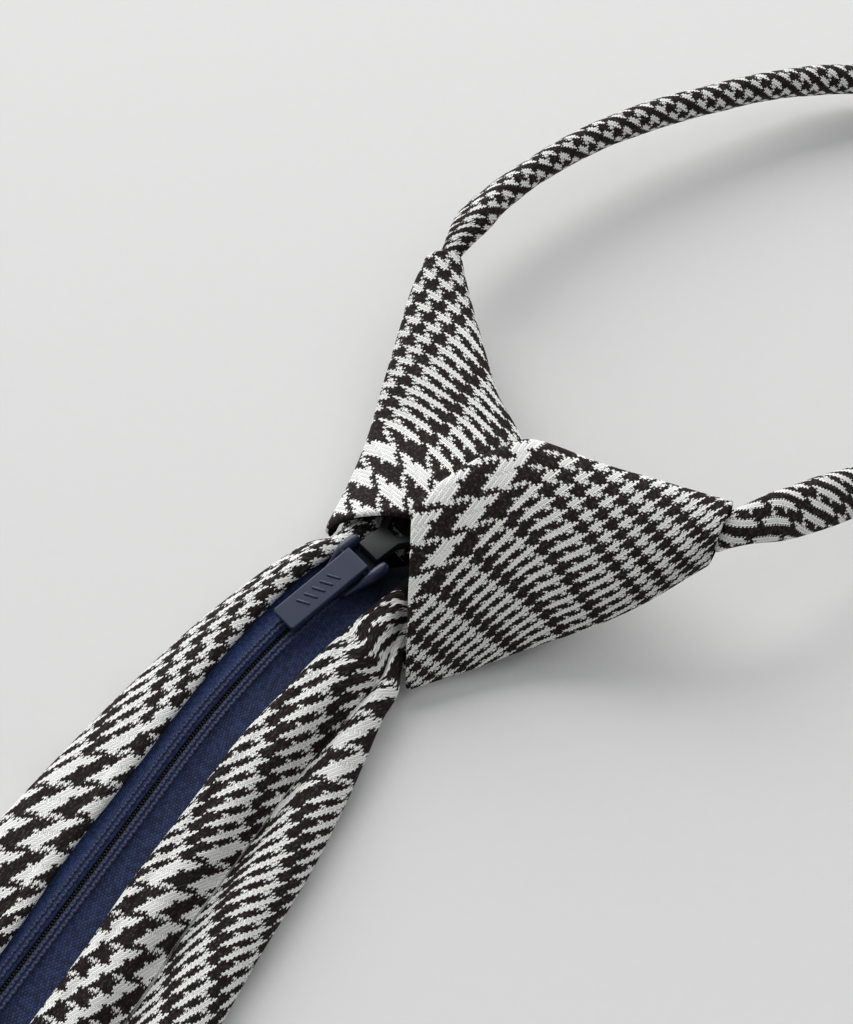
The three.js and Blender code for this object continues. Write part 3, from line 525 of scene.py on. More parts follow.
def sides_of(line, thickness, extra):
    """The right and the wrong side of a line in a section, `extra` proud on the right side."""
    tangent = np.gradient(line, axis=0)
    tangent /= np.linalg.norm(tangent, axis=1)[:, None]
    normal = np.stack([tangent[:, 1], -tangent[:, 0]], axis=1)
    half = thickness[:, None] / 2
    return line + normal * (half + extra[:, None]), line - normal * half


def hem_shape(distance):
    """How far the right side stands proud at a distance from the hem: a roll, then a groove."""
    roll = HEM_PROUD * np.sin(np.pi * np.clip(distance / HEM_ROLL, 0, 1))
    groove = np.exp(-((distance - GROOVE_PLACE) / GROOVE_HALF) ** 2)
    return roll - HEM_GROOVE * groove


def make_blade():
    shares = np.concatenate([np.linspace(0, 0.40, 170), np.linspace(0.41, 0.915, 46),
                             np.linspace(0.921, 1.0, 36)])
    row = read_table(BLADE_COLUMNS, BLADE, shares)
    places = blade_places()
    rings = []
    for i, share in enumerate(shares):
        line = smooth_line(blade_key_points(row, i), places)
        run = lengths_along(line)
        from_hem = np.minimum(run, run[-1] - run)
        thickness = CLOTH + (HEM - CLOTH) * (1 - ease(from_hem, *HEM_TURNED_IN))
        right_side, wrong_side = sides_of(line, thickness, hem_shape(from_hem))
        ring = wall_ring(right_side, wrong_side, HEM / 2)
        rings.append(zip_point(share * BLADE_LENGTH, ring[:, 0], np.maximum(ring[:, 1], 0)))
    rings = np.array(rings)
    grain = grain_of(rings, shares * BLADE_LENGTH, turned_back=HEM_POINTS)
    left = yarn_numbers(grain, *LEFT_FLAP_YARNS)
    right = yarn_numbers(grain, *RIGHT_FLAP_YARNS)
    pleated = 1 - ease(places, *PLEAT_PLACES)
    right[..., 1] += PLEAT_SHIFT * np.concatenate([pleated, np.zeros(HEM_POINTS), pleated[::-1],
                                                   np.ones(HEM_POINTS + 1)])
    to_right = ease(places, *FRONT_TURN)
    to_right = np.concatenate([to_right, np.ones(HEM_POINTS), to_right[::-1],
                               np.zeros(HEM_POINTS + 1)])[None, :, None]
    grain = left + (right - left) * to_right
    count = len(places)
    return solid_from_rings("blade_cloth", rings, grain, count,
                            (count + HEM_POINTS, 2 * count + HEM_POINTS - 1))


blade = make_blade()
print("blade:", len(blade.data.polygons), "faces")

# %% [markdown]
# ## Knot
#
# Each wing of the knot is cloth that comes from the band, widens over the back of the knot and
# turns round to the front. Its section is an open ellipse between two edges, and the wall rolls
# over at the mouth. The grain counts from the wing's crown, so that the check runs down its middle
# and bends away at the sides.

# %% Wings of the knot
WING_POINTS = 60
WING_ROWS = 110
WING_REACH = ((-22, 22), (0, 58))
RIGHT_WING_YARNS = ((-22.1, -0.712, 0.908, -0.0014, 0.00166, -0.00392),
                    (-10.6, 0.895, 0.4745, 0.0229, 0.0120, 0.00789), WING_REACH)
LEFT_WING_YARNS = ((-9.1, 0.676, 0.0862, -0.01028, -0.00217, 0.00466),
                   (-21.6, -0.702, 1.323, 0.00977, -0.00279, -0.0027), WING_REACH)


def wing_side(row, wall, inset):
    inner = knot_place(row, "inner")
    middle = (knot_place(row, "outer") + inner) / 2
    reach = inner - middle
    width = np.hypot(reach[:, 0], reach[:, 1])
    reach = reach * ((width - inset * wall) / width)[:, None]
    t = np.linspace(0, 1, WING_POINTS)
    angle = np.radians((90 - row["inner_wrap"])[:, None]
                       + (row["inner_wrap"] + row["outer_wrap"])[:, None] * t)
    half = np.where(np.sin(angle) > 0, row["crown"][:, None], row["belly"][:, None]) * KNOT_HEIGHT
    side = middle[:, None] + reach[:, None] * np.cos(angle)[..., None]
    side[..., 2] += np.sin(angle) * (half - inset * wall[:, None])
    return side, middle


def make_wing(name, rows, yarns):
    length = lengths_along(wing_side(read_table(WING_COLUMNS, rows, np.linspace(0, 1, 60)),
                                     np.full(60, WING_WALL), 0)[1])[-1]
    edge = np.array([0, 0.03, 0.12, 0.26, 0.45, 0.7]) / length
    shares = np.concatenate([edge, np.linspace(1.0 / length, 1 - 0.7 / length, WING_ROWS),
                             1 - edge[::-1] * 0.6])
    row = read_table(WING_COLUMNS, rows, shares)
    wall = WING_WALL + (WING_TIP_WALL - WING_WALL) * ease(shares, 0.5, 1)
    right_side, middle = wing_side(row, wall, 0)
    wrong_side, _ = wing_side(row, wall, 1)
    from_edge = np.minimum(shares, 1 - shares) * length / (wall / 2)
    round_over = np.sqrt(1 - np.clip(1 - from_edge, 0, 0.99) ** 2)[:, None, None]
    centre, half = (right_side + wrong_side) / 2, (right_side - wrong_side) / 2
    along = lengths_along(middle)
    rings = np.array([wall_ring(a, b, w / 2) for a, b, w in
                      zip(centre + half * round_over, centre - half * round_over, wall)])
    grain = grain_of(rings, along, WING_POINTS // 2, HEM_POINTS)
    return solid_from_rings(name, rings, yarn_numbers(grain, *yarns), WING_POINTS,
                            (WING_POINTS, 2 * WING_POINTS + 2 * HEM_POINTS - 1))


wing_left = make_wing("wing_left_cloth", LEFT_WING, LEFT_WING_YARNS)
wing_right = make_wing("wing_right_cloth", RIGHT_WING, RIGHT_WING_YARNS)
print("wings:", len(wing_left.data.polygons) + len(wing_right.data.polygons), "faces")


# %% Front wrap of the knot
FRONT_BORDER = 0.04
FRONT_YARNS = ((0, 0.61, 0.61, 0, 0, 0), (0, -1.0, 1.0, 0, 0, 0), ((0, 100), (0, 60)))


def make_front():
    shares = np.concatenate([[0.0, 0.01, 0.025], np.linspace(0.05, 0.95, 50), [0.975, 0.99, 1.0]])
    row = read_table(FRONT_COLUMNS, FRONT_WRAP, shares)
    border = np.minimum(shares, 1 - shares)
    swell = np.sqrt(1 - (1 - np.clip(border / FRONT_BORDER, 0, 1)) ** 2)
    rings = []
    for left, right, full in zip(knot_place(row, "left"), knot_place(row, "right"), swell):
        width = np.linalg.norm(right - left)
        half = FRONT_THICKNESS / 2 * (0.5 + 0.5 * full)
        edge = min(FRONT_EDGE, half)
        inset = FRONT_EDGE * (1 - full)
        turn = np.radians(np.linspace(0, 90, 8))
        reach = inset + edge * (1 - np.cos(turn))
        rise = half - edge + edge * np.sin(turn)
        flat = np.linspace(0, 1, 12)[1:-1]
        between = (width - inset - edge) * (1 - flat) + (inset + edge) * flat
        top = np.concatenate([width - reach, between, reach[::-1]])
        up = np.concatenate([rise, np.full(len(flat), half), rise[::-1]])
        distance = np.concatenate([top, top[::-1]])
        height = FRONT_THICKNESS / 2 + np.concatenate([up, -up[::-1]])
        ring = left + (right - left) * (distance / width)[:, None]
        ring[:, 2] = height
        rings.append(ring)
    rings = np.array(rings)
    grain = yarn_numbers(grain_of(rings, shares * KNOT_SIZE), *FRONT_YARNS)
    return solid_from_rings("knot_front_cloth", rings, grain)


knot_front = make_front()

# %% [markdown]
# ## Neck loop
#
# The band is a strip of the same cloth, stuffed and sewn into a tube. It leaves one wing, goes
# round the neck and comes back into the other wing. A smooth line through the table's points is
# its route. At each step the section is a soft rectangle that leans toward the inside of the loop.

# %% Neck loop
LOOP_STEPS = 620
LOOP_SIDES = 36
ROUTE_STEPS = 6000
SQUARENESS = 0.8
LEFT_TIP_LEAN = 20
RIGHT_TIP_LEAN = 23
FIT = 0.82
LUMPS = ((0.018, 7.3, 0), (0.014, 3.1, 1), (0.010, 1.7, 0))
BAND_YARNS = ((25, -0.90, 0.70, 0, 0, 0), (0, -1.2, -1.08, 0, 0, 0), ((0, 40), (0, 330)))


def wing_tip(rows):
    """The middle of a wing's tip, the way it points, and the room that it has for the band."""
    ends = read_table(WING_COLUMNS, rows, [1.0, 0.9])
    tip, before = (knot_place(ends, "outer") + knot_place(ends, "inner")) / 2
    out = tip - before
    room = math.hypot(ends["inner_across"][0] - ends["outer_across"][0],
                      ends["inner_along"][0] - ends["outer_along"][0]) * KNOT_SIZE
    room -= 2 * WING_TIP_WALL + 2 * GAP
    depth = 2 * (min(ends["crown"][0], ends["belly"][0]) * KNOT_HEIGHT - WING_TIP_WALL - GAP)
    return tip, out / np.linalg.norm(out), room, depth


def unit_rows(vectors):
    return vectors / np.linalg.norm(vectors, axis=1)[:, None]


def make_loop():
    left, left_out, left_room, left_depth = wing_tip(LEFT_WING)
    right, right_out, right_room, right_depth = wing_tip(RIGHT_WING)
    chord = right - left
    chord[2] = 0
    chord /= np.linalg.norm(chord)
    away = np.cross((0, 0, 1), chord)
    middle = (left + right) / 2
    middle[2] = 0
    table = np.array(LOOP)
    points = middle + table[:, :1] * LOOP_SPAN * chord + table[:, 1:2] * LOOP_REACH * away
    points[:, 2] = table[:, 2] * KNOT_HEIGHT
    points = np.vstack([left - left_out * BAND_TUCK, points, right - right_out * BAND_TUCK])
    leans = np.concatenate([[LEFT_TIP_LEAN], table[:, 3], [RIGHT_TIP_LEAN]])
    fine = np.linspace(0, len(points) - 1, ROUTE_STEPS)
    route = smooth_line(points, fine)
    run = lengths_along(route)
    length = run[-1]
    at = np.linspace(0, length, LOOP_STEPS + 1)
    places = np.interp(at, run, fine)
    line = smooth_line(points, places)
    forward = unit_rows(np.gradient(line, axis=0))
    lean = np.radians(np.interp(places, np.arange(len(leans)), leans))[:, None]
    side = unit_rows(np.cross(forward, (0, 0, 1)))
    centre = middle + away * LOOP_REACH / 2
    side *= np.where(np.sum(side * (centre - line), axis=1) < 0, -1, 1)[:, None]
    rise = unit_rows(np.cross(side, forward))
    rise *= np.where(rise[:, 2] < 0, -1, 1)[:, None]
    wide = side * np.cos(lean) + rise * np.sin(lean)
    thick = -side * np.sin(lean) + rise * np.cos(lean)
    from_left, from_right = ease(at, BAND_TUCK, BAND_NECK), ease(length - at, BAND_TUCK, BAND_NECK)
    lumps = 1 + sum(size * np.sin(at / spacing + start) for size, spacing, start in LUMPS)

    def tapered(at_left, at_right, full):
        return lumps * np.minimum(at_left * FIT + (full - at_left * FIT) * from_left,
                                  at_right * FIT + (full - at_right * FIT) * from_right)

    width = tapered(left_room, right_room, BAND_WIDTH)
    depth = tapered(left_depth, right_depth, BAND_THICKNESS)
    angle = np.pi + 2 * np.pi * (np.arange(LOOP_SIDES) + 0.5) / LOOP_SIDES

    def soft(value):
        return np.sign(value) * np.abs(value) ** SQUARENESS

    rings = (line[:, None]
             + wide[:, None] * (soft(np.cos(angle))[None] * width[:, None] / 2)[..., None]
             + thick[:, None] * (soft(np.sin(angle))[None] * depth[:, None] / 2)[..., None])
    rings[..., 2] = np.maximum(rings[..., 2], 0)
    print(f"neck loop: {length:.0f} mm of band")
    grain = yarn_numbers(grain_of(rings, at), *BAND_YARNS)
    return solid_from_rings("neck_loop_cloth", rings, grain)


neck_loop = make_loop()

# %% [markdown]
# ## Zip tapes and coil
#
# Each tape is woven, comes out from under its flap and climbs a low ridge to the slot above the
# coil. Rows of chain stitch hold the coil to the tape, and they stand up as two cords on each side
# of the slot. They repeat hundreds of times along the zip, so Geometry Nodes make them.

# %% Zip tapes
TAPE_STEPS = 190
OPEN_SLOT = 1.35
RIDGE_FOOT = 3.3
RIDGE_CREST = 1.7
PART_WIDTH = 4.2
TUCK_SHARE = 0.42
FOOT_SHARE = 0.25


def tape_profile(side, along):
    """Across and height of the five corners of one tape's section at each distance along."""
    row, under_hem, ridge = zip_heights(along)
    flap = row["left_flap" if side < 0 else "right_flap"] * BLADE_WIDTH + side * SEAM_GAP / 2
    apart = PART_WIDTH * (1 - ease(along, 0, SLIDER_PLACE))
    room = np.abs(row["left_edge"] - row["left_flap"]) * BLADE_WIDTH * TUCK_SHARE
    tuck = flap + side * np.minimum(TAPE_TUCK, room)
    foot = np.minimum(RIDGE_FOOT + apart, np.abs(flap) - GAP)
    crest = np.minimum(RIDGE_CREST + apart, foot - GAP)
    slot = np.minimum(OPEN_SLOT / 2 + apart, crest - GAP)
    across = np.stack([tuck, flap, side * foot, side * crest, side * slot], axis=1)
    height = np.stack([under_hem - TAPE_TUCK_DROP, under_hem,
                       under_hem + (ridge - under_hem) * FOOT_SHARE,
                       np.minimum(ridge, under_hem + np.abs(flap) - crest),
                       np.minimum(ridge - CHAIN_DROP, under_hem + np.abs(flap) - slot)], axis=1)
    return across, height


def make_tape(name, side):
    along = np.linspace(0, ZIP_LENGTH, TAPE_STEPS)
    across, height = tape_profile(side, along)
    places = np.concatenate([np.linspace(0, 1, 7)[:-1], np.linspace(1, 2, 10)[:-1],
                             np.linspace(2, 3, 10)[:-1], np.linspace(3, 4, 7)])
    rings, widths = [], []
    for i in range(len(along)):
        line = smooth_line(np.stack([across[i], height[i]], axis=1), places)
        top = zip_point(along[i], line[:, 0], line[:, 1])
        under = zip_point(along[i], line[:, 0], line[:, 1] - TAPE)
        rings.append(wall_ring(top, under, TAPE / 3))
        widths.append(lengths_along(line)[-1])
    rings = np.array(rings)
    tape = solid_from_rings(name, rings, grain_of(rings, along, len(places) - 1), len(places))
    return tape, float(np.mean(widths))


tape_left, tape_width = make_tape("zip_tape_left_cloth", -1)
tape_right, _ = make_tape("zip_tape_right_cloth", 1)
print(f"tapes: {tape_width:.1f} mm of cloth across each, on average")


# %% A small builder for node trees
class Wire:
    """A socket in a node tree. Arithmetic on it adds Math nodes."""

    def __init__(self, sheet, socket):
        self.sheet = sheet
        self.socket = socket

    def math(self, operation, *others):
        inputs = {i: value for i, value in enumerate((self, *others))}
        return self.sheet.add("ShaderNodeMath", {"operation": operation}, inputs)

    def __add__(self, other):
        return self.math("ADD", other)

    def __sub__(self, other):
        return self.math("SUBTRACT", other)

    def __rsub__(self, other):
        return (self * -1).math("ADD", other)

    def __mul__(self, other):
        return self.math("MULTIPLY", other)

    def __truediv__(self, other):
        return self.math("DIVIDE", other)

    def floor(self):
        return self.math("FLOOR")

    def wrap(self, size):
        """The remainder after whole steps of a size, never negative."""
        return self.math("FLOORED_MODULO", size)

    def below(self, limit):
        return self.math("LESS_THAN", limit)

    def between(self, low, high):
        return self.math("GREATER_THAN", low) * self.math("LESS_THAN", high)


class NodeSheet:
    """Adds nodes to one tree: their type, then their settings, then their inputs."""

    def __init__(self, tree):
        self.tree = tree

    def add(self, kind, settings=None, inputs=None, output=0):
        node = self.tree.nodes.new(kind)
        for name, value in (settings or {}).items():
            setattr(node, name, value)
        for key, value in (inputs or {}).items():
            if isinstance(value, Wire):
                self.tree.links.new(value.socket, node.inputs[key])
            else:
                node.inputs[key].default_value = value
        return Wire(self, node.outputs[output]) if len(node.outputs) else None

    def parts(self, vector):
        """The x, y and z of a vector."""
        split = self.tree.nodes.new("ShaderNodeSeparateXYZ")
        self.tree.links.new(vector.socket, split.inputs[0])
        return [Wire(self, socket) for socket in split.outputs]

    def mix(self, factor, a, b, blend="MIX"):
        settings = {"data_type": "RGBA", "blend_type": blend}
        return self.add("ShaderNodeMix", settings, {0: factor, 6: a, 7: b}, 2)


# %% Chain stitches and coil teeth with Geometry Nodes
def grey(value):
    return (value, value, value, 1.0)


def row_of_beads(name, path, spacing, size, tilt, material):
    """Beads laid nose to tail along a path, each `size` long, wide and high, and turned by tilt
    to one side and the other in turn."""
    line = bpy.data.meshes.new(name + "_path")
    edges = [(i, i + 1) for i in range(len(path) - 1)]
    line.from_pydata((np.asarray(path) * MM).tolist(), edges, [])
    row = added(name, line)
    tree = bpy.data.node_groups.new(name, "GeometryNodeTree")
    tree.interface.new_socket("Geometry", in_out="INPUT", socket_type="NodeSocketGeometry")
    sockets = {}
    for label in ("Spacing", "Length", "Width", "Height", "Tilt"):
        sockets[label] = tree.interface.new_socket(label, in_out="INPUT",
                                                   socket_type="NodeSocketFloat")
    tree.interface.new_socket("Geometry", in_out="OUTPUT", socket_type="NodeSocketGeometry")
    sheet = NodeSheet(tree)
    start = tree.nodes.new("NodeGroupInput")

    def given(label):
        return Wire(sheet, start.outputs[label])

    curve = sheet.add("GeometryNodeMeshToCurve", {}, {0: given("Geometry")})
    dotted = sheet.add("GeometryNodeResampleCurve", {"mode": "LENGTH"},
                       {"Curve": curve, "Length": given("Spacing")})
    tangent = sheet.add("GeometryNodeInputTangent")
    facing = sheet.add("FunctionNodeAlignRotationToVector", {"axis": "X", "pivot_axis": "Z"},
                       {"Vector": tangent})
    number = sheet.add("GeometryNodeInputIndex")
    swing = (number.wrap(2) - 0.5) * 2 * given("Tilt")
    turn = sheet.add("ShaderNodeCombineXYZ", {}, {"Z": swing})
    lean = sheet.add("FunctionNodeEulerToRotation", {}, {0: turn})
    placed = sheet.add("FunctionNodeRotateRotation", {"rotation_space": "LOCAL"},
                       {"Rotation": facing, "Rotate By": lean})
    bead = sheet.add("GeometryNodeMeshUVSphere", {}, {"Segments": 8, "Rings": 6, "Radius": 0.5})
    scale = sheet.add("ShaderNodeCombineXYZ", {},
                      {"X": given("Length"), "Y": given("Width"), "Z": given("Height")})
    beads = sheet.add("GeometryNodeInstanceOnPoints", {},
                      {"Points": dotted, "Instance": bead, "Rotation": placed, "Scale": scale})
    real = sheet.add("GeometryNodeRealizeInstances", {}, {"Geometry": beads})
    smooth = sheet.add("GeometryNodeSetShadeSmooth", {}, {"Geometry": real})
    dressed = sheet.add("GeometryNodeSetMaterial", {}, {"Geometry": smooth, "Material": material})
    end = tree.nodes.new("NodeGroupOutput")
    tree.links.new(dressed.socket, end.inputs[0])
    modifier = row.modifiers.new(name, "NODES")
    modifier.node_group = tree
    values = (spacing * MM, *(side * MM for side in size), tilt)
    for socket, value in zip(sockets.values(), values):
        modifier[socket.identifier] = value
    bpy.context.view_layer.update()
    graph = bpy.context.evaluated_depsgraph_get()
    result = bpy.data.meshes.new_from_object(row.evaluated_get(graph))
    row.modifiers.clear()
    row.data = result
    return row


# %% [markdown]
# ## Finishes
#
# The cloth is a check woven in a two-by-two twill from off-white and nearly black yarn. The check
# itself is not painted on: it appears because the yarns change colour in twos and fours, both along
# and across, and whichever yarn lies on top shows. The material works it out the same way. It
# counts the yarns under a point, asks which one is on top there, and gives that yarn's colour. That
# colour is then darkened in the grooves between threads, and on every other thread, as painted
# shade.


# %% The woven check
DARK_YARN = (0.0050, 0.0045, 0.0045, 1.0)
DARK_BROWN_YARN = (0.026, 0.016, 0.014, 1.0)
LIGHT_YARN = (0.93, 0.94, 0.92, 1.0)
WARM_YARN = (0.80, 0.78, 0.72, 1.0)
FLECK = (0.05, 0.048, 0.05, 1.0)
WARP_THREADS = 3
WEFT_THREADS = 2
DARK_WARP_SHOWS = (0.20, 1.85)
LIGHT_WARP_SHOWS = (0.55, 1.55)
TWOS_EDGE = 0.19
DARK_LINE = (2.0, 4.2)
DRIFTS = ((0.11, 0.7), (0.9, 0.20))
WARP_COMB, WARP_UNEVEN = 0.34, 0.16
WEFT_COMB, WEFT_UNEVEN = 0.38, 0.10
THREAD_ROUND = 2.4
ON_TOP, UNDER = 0.8, 0.2
LOW_THREAD, THREAD_RISE = 0.58, 0.62
DULLEST, TONE_RANGE = 0.9, 0.2
EVERY_OTHER_PAINTED_SHADE = 0.20
FLECK_POWER = 5


def new_material(name):
    material = bpy.data.materials.new(name)
    material.use_nodes = True
    material.node_tree.nodes.clear()
    return material, NodeSheet(material.node_tree)


def finish_material(sheet, inputs):
    shader = sheet.add("ShaderNodeBsdfPrincipled", {}, inputs)
    sheet.add("ShaderNodeOutputMaterial", {}, {"Surface": shader})


def woven_check(name, warp_sections, weft_sections, dark_lines=False):
    """The check, drawn from the yarn numbers that each piece holds in its `grain` map. A section
    is how many yarns the whole repeat has, and how many of them go two light and two dark. With
    dark_lines, every other dark pair of weft yarns covers the warp and makes a line."""
    material, sheet = new_material(name)
    grain = sheet.add("ShaderNodeUVMap", {"uv_map": "grain"})
    moved = grain
    for scale, size in DRIFTS:
        drift = sheet.add("ShaderNodeTexNoise", {"noise_dimensions": "2D"},
                          {"Vector": grain, "Scale": scale, "Detail": 1.0}, 1)
        moved = sheet.add("ShaderNodeVectorMath", {"operation": "MULTIPLY_ADD"},
                          {0: drift, 1: (size, size, 0), 2: moved})
    a, b, _ = sheet.parts(moved)

    def chance(number):
        return sheet.add("ShaderNodeTexWhiteNoise", {"noise_dimensions": "1D"}, {"W": number})

    warp_thread, weft_thread = (a * WARP_THREADS).floor(), (b * WEFT_THREADS).floor()
    warp_chance, weft_chance = chance(warp_thread), chance(weft_thread + 0.37)
    cell = sheet.add("ShaderNodeCombineXYZ", {}, {0: warp_thread, 1: weft_thread})
    fleck = sheet.add("ShaderNodeTexWhiteNoise", {"noise_dimensions": "2D"}, {"Vector": cell})
    a = a + weft_thread.wrap(2) * WARP_COMB + weft_chance * WARP_UNEVEN
    b = b + warp_thread.wrap(2) * WEFT_COMB + warp_chance * WEFT_UNEVEN

    def is_light(number, sections, shift, edge):
        """The order is two light and two dark, or four and four, a section at a time."""
        whole, narrow = sections
        in_twos = number.wrap(whole).below(narrow)
        fours = (number + shift).wrap(8).below(4)
        twos = number.wrap(4).between(edge, 2 - edge)
        return twos * in_twos + fours * (1 - in_twos)

    light_warp = is_light(a, warp_sections, 2, 0.0)
    light_weft = is_light(b, weft_sections, 0, TWOS_EDGE)
    step = (a - b.floor() + 2).wrap(4)
    warp_on_top = (step.between(*DARK_WARP_SHOWS) * (1 - light_warp)
                   + step.between(*LIGHT_WARP_SHOWS) * light_warp)
    light = light_warp * warp_on_top + light_weft * (1 - warp_on_top)
    if dark_lines:
        light = light * (1 - b.wrap(8).between(*DARK_LINE))

    def roundness(number):
        from_middle = ((number - number.floor() - 0.5) * 2).math("ABSOLUTE")
        return 1 - from_middle.math("POWER", THREAD_ROUND)

    round_warp, round_weft = roundness(a * WARP_THREADS), roundness(b * WEFT_THREADS)
    height = ((round_warp * ON_TOP + round_weft * UNDER) * warp_on_top
              + (round_weft * ON_TOP + round_warp * UNDER) * (1 - warp_on_top))
    tone = warp_chance * warp_on_top + weft_chance * (1 - warp_on_top)
    patch = sheet.add("ShaderNodeTexNoise", {"noise_dimensions": "2D"},
                      {"Vector": grain, "Scale": 0.8, "Detail": 3.0, "Roughness": 0.7})
    light_colour = sheet.mix(patch * tone, LIGHT_YARN, WARM_YARN)
    dark_colour = sheet.mix(patch, DARK_YARN, DARK_BROWN_YARN)
    dark_colour = sheet.mix(fleck.math("POWER", FLECK_POWER), dark_colour, FLECK)
    colour = sheet.mix(light, dark_colour, light_colour)
    # Painted shade: the base colour is darkened in the grooves between threads and on every other
    # thread.
    every_other = warp_thread.wrap(2) * warp_on_top + weft_thread.wrap(2) * (1 - warp_on_top)
    shade = ((height * THREAD_RISE + LOW_THREAD) * (tone * TONE_RANGE + DULLEST)
             * (1 - every_other * EVERY_OTHER_PAINTED_SHADE))
    grey_shade = sheet.add("ShaderNodeCombineXYZ", {}, {0: shade, 1: shade, 2: shade})
    bump = sheet.add("ShaderNodeBump", {}, {"Strength": 0.7, "Distance": 0.00014, "Height": height})
    finish_material(sheet, {"Base Color": sheet.mix(1.0, colour, grey_shade, "MULTIPLY"),
                            "Normal": bump, "Roughness": 0.8, "Specular IOR Level": 0.12})
    return material


checked_cloth = woven_check("checked cloth", (64, 32), (96, 64))
band_cloth = woven_check("checked cloth of the band", (400, 150), (96, 96), True)


# %% Near-black lining as painted shade, navy tape, thread, paint and plastic
TAPE_PAINTED_SHADE_IN_KNOT = (0.0015, 0.002, 0.005, 1)
KNOT_PAINTED_SHADE_RANGE = {1: 5.0, 2: 20.0, 3: 0.12, 4: 1.0}


def woven_tape(name, light, dark, rib, slope):
    """A fine ribbed tape: ribs along the zip, crossed by a finer thread at a slope. Its grooves
    take the darker colour and its crowns the lighter, as painted shade, and inside the knot, from 5
    to 20 mm along, it is darkened further as painted shade."""
    material, sheet = new_material(name)
    grain = sheet.add("ShaderNodeUVMap", {"uv_map": "grain"})
    turned = sheet.add("ShaderNodeMapping", {"vector_type": "TEXTURE"},
                       {"Vector": grain, "Rotation": (0, 0, math.radians(slope))})
    a, b, _ = sheet.parts(turned)
    a, b = a / rib, b / (rib * 1.1)
    i = a.floor()
    b = b + i.wrap(2) * 0.5
    across, run = (a - i - 0.5) * 2, (b - b.floor() - 0.5) * 2
    bead = (1 - across.math("POWER", 2.0)) * (1 - run.math("ABSOLUTE").math("POWER", 2.5))
    tone = sheet.add("ShaderNodeTexWhiteNoise", {"noise_dimensions": "2D"},
                     {"Vector": sheet.add("ShaderNodeCombineXYZ", {}, {0: i, 1: b.floor()})})
    # Painted shade: the rib's crown takes the lighter navy and the grooves between ribs the darker,
    # mixed with a random tone.
    colour = sheet.mix(bead * 0.65 + tone * 0.65 - 0.1, dark, light)
    _, along, _ = sheet.parts(grain)
    # Painted shade: the tape's colour goes to near-black inside the knot's mouth.
    unshaded_share = sheet.add("ShaderNodeMapRange", {"interpolation_type": "SMOOTHSTEP"},
                            {0: along, **KNOT_PAINTED_SHADE_RANGE})
    colour = sheet.mix(unshaded_share, TAPE_PAINTED_SHADE_IN_KNOT, colour)
    bump = sheet.add("ShaderNodeBump", {}, {"Strength": 0.7, "Distance": 0.00012, "Height": bead})
    finish_material(sheet, {"Base Color": colour, "Normal": bump, "Roughness": 0.8,
                            "Specular IOR Level": 0.25, "Sheen Weight": 0.1})
    return material


def plain_finish(name, colour, other, scale, roughness, bump_strength=0.15, **more):
    """A nearly even finish, with a faint change of colour and a fine grain in its gloss."""
    material, sheet = new_material(name)
    place = sheet.add("ShaderNodeTexCoord", {}, {}, 3)
    patch = sheet.add("ShaderNodeTexNoise", {}, {"Vector": place, "Scale": scale, "Detail": 3.0})
    fine = sheet.add("ShaderNodeTexNoise", {}, {"Vector": place, "Scale": scale * 9, "Detail": 2.0})
    bump = sheet.add("ShaderNodeBump", {}, {"Strength": bump_strength, "Distance": 0.0001,
                                            "Height": fine})
    inputs = {"Base Color": sheet.mix(patch, colour, other), "Normal": bump,
              "Roughness": fine * 0.12 + (roughness - 0.06)}
    inputs.update(more)
    finish_material(sheet, inputs)
    return material


# Painted shade: a near-black finish for the cloth's wrong side, the wall ends and the blade inside
# the knot's mouth, where shade falls.
painted_shade_lining = plain_finish("near-black lining as painted shade", grey(0.004), grey(0.008), 900, 0.9,
                      **{"Specular IOR Level": 0.05})
# Painted light and shade: the left tape's navy is lighter as if lit, the right tape's darker as if
# in shade.
tape_finish_left_lit = woven_tape("navy tape, left, painted lighter as lit", (0.036, 0.066, 0.200, 1),
                              (0.004, 0.008, 0.032, 1), 0.40, 4)
tape_finish_right_shaded = woven_tape("navy tape, right, painted darker as shade", (0.022, 0.038, 0.115, 1),
                               (0.002, 0.004, 0.016, 1), 0.52, 24)
thread = plain_finish("navy thread", (0.022, 0.034, 0.098, 1), (0.008, 0.012, 0.038, 1), 2500, 0.6)
coil_black = plain_finish("black coil", grey(0.004), grey(0.008), 1500, 0.3)
paint = plain_finish("navy paint", (0.018, 0.026, 0.058, 1), (0.022, 0.031, 0.066, 1), 300, 0.32,
                     0.12, **{"Coat Weight": 0.08, "Coat Roughness": 0.15,
                              "Specular IOR Level": 0.34})
# Painted shade: the top plate and the pin, deep in the gap under the tab, get a near-black navy.
paint_darkened_as_shade = plain_finish("navy paint darkened as painted shade in the gap", (0.004, 0.005, 0.012, 1),
                            (0.005, 0.007, 0.015, 1), 300, 0.6, 0.12,
                            **{"Specular IOR Level": 0.2})
plastic = plain_finish("black plastic", (0.0080, 0.0095, 0.0105, 1), (0.0115, 0.013, 0.014, 1),
                       500, 0.45, 0.2, **{"Specular IOR Level": 0.35})

# %% [markdown]
# ## Slider, tab and clip
#
# The slider is cast and painted. Two shoulders rise beside the tab, round at the nose and drawn
# out toward the tail, and a pin between them holds the tab. They are lofted rings, because such a
# soft casting has no flat side. The clip is moulded plastic, mostly inside the knot.

# %% Slider frame and smooth lofts
slider_level = slider_floor + GAP
plate_gap = CHAIN_THICKNESS + TAPE + CHAIN_DROP + 3 * GAP
top_plate_level = SLIDER_PLATE + plate_gap
plate_top = top_plate_level + SLIDER_PLATE
pin_height = plate_top + GAP + PULL_HEAD / 2
slider_turn = float(zip_turn(SLIDER_PLACE))
slider_place = zip_point(SLIDER_PLACE, 0.0, slider_level)


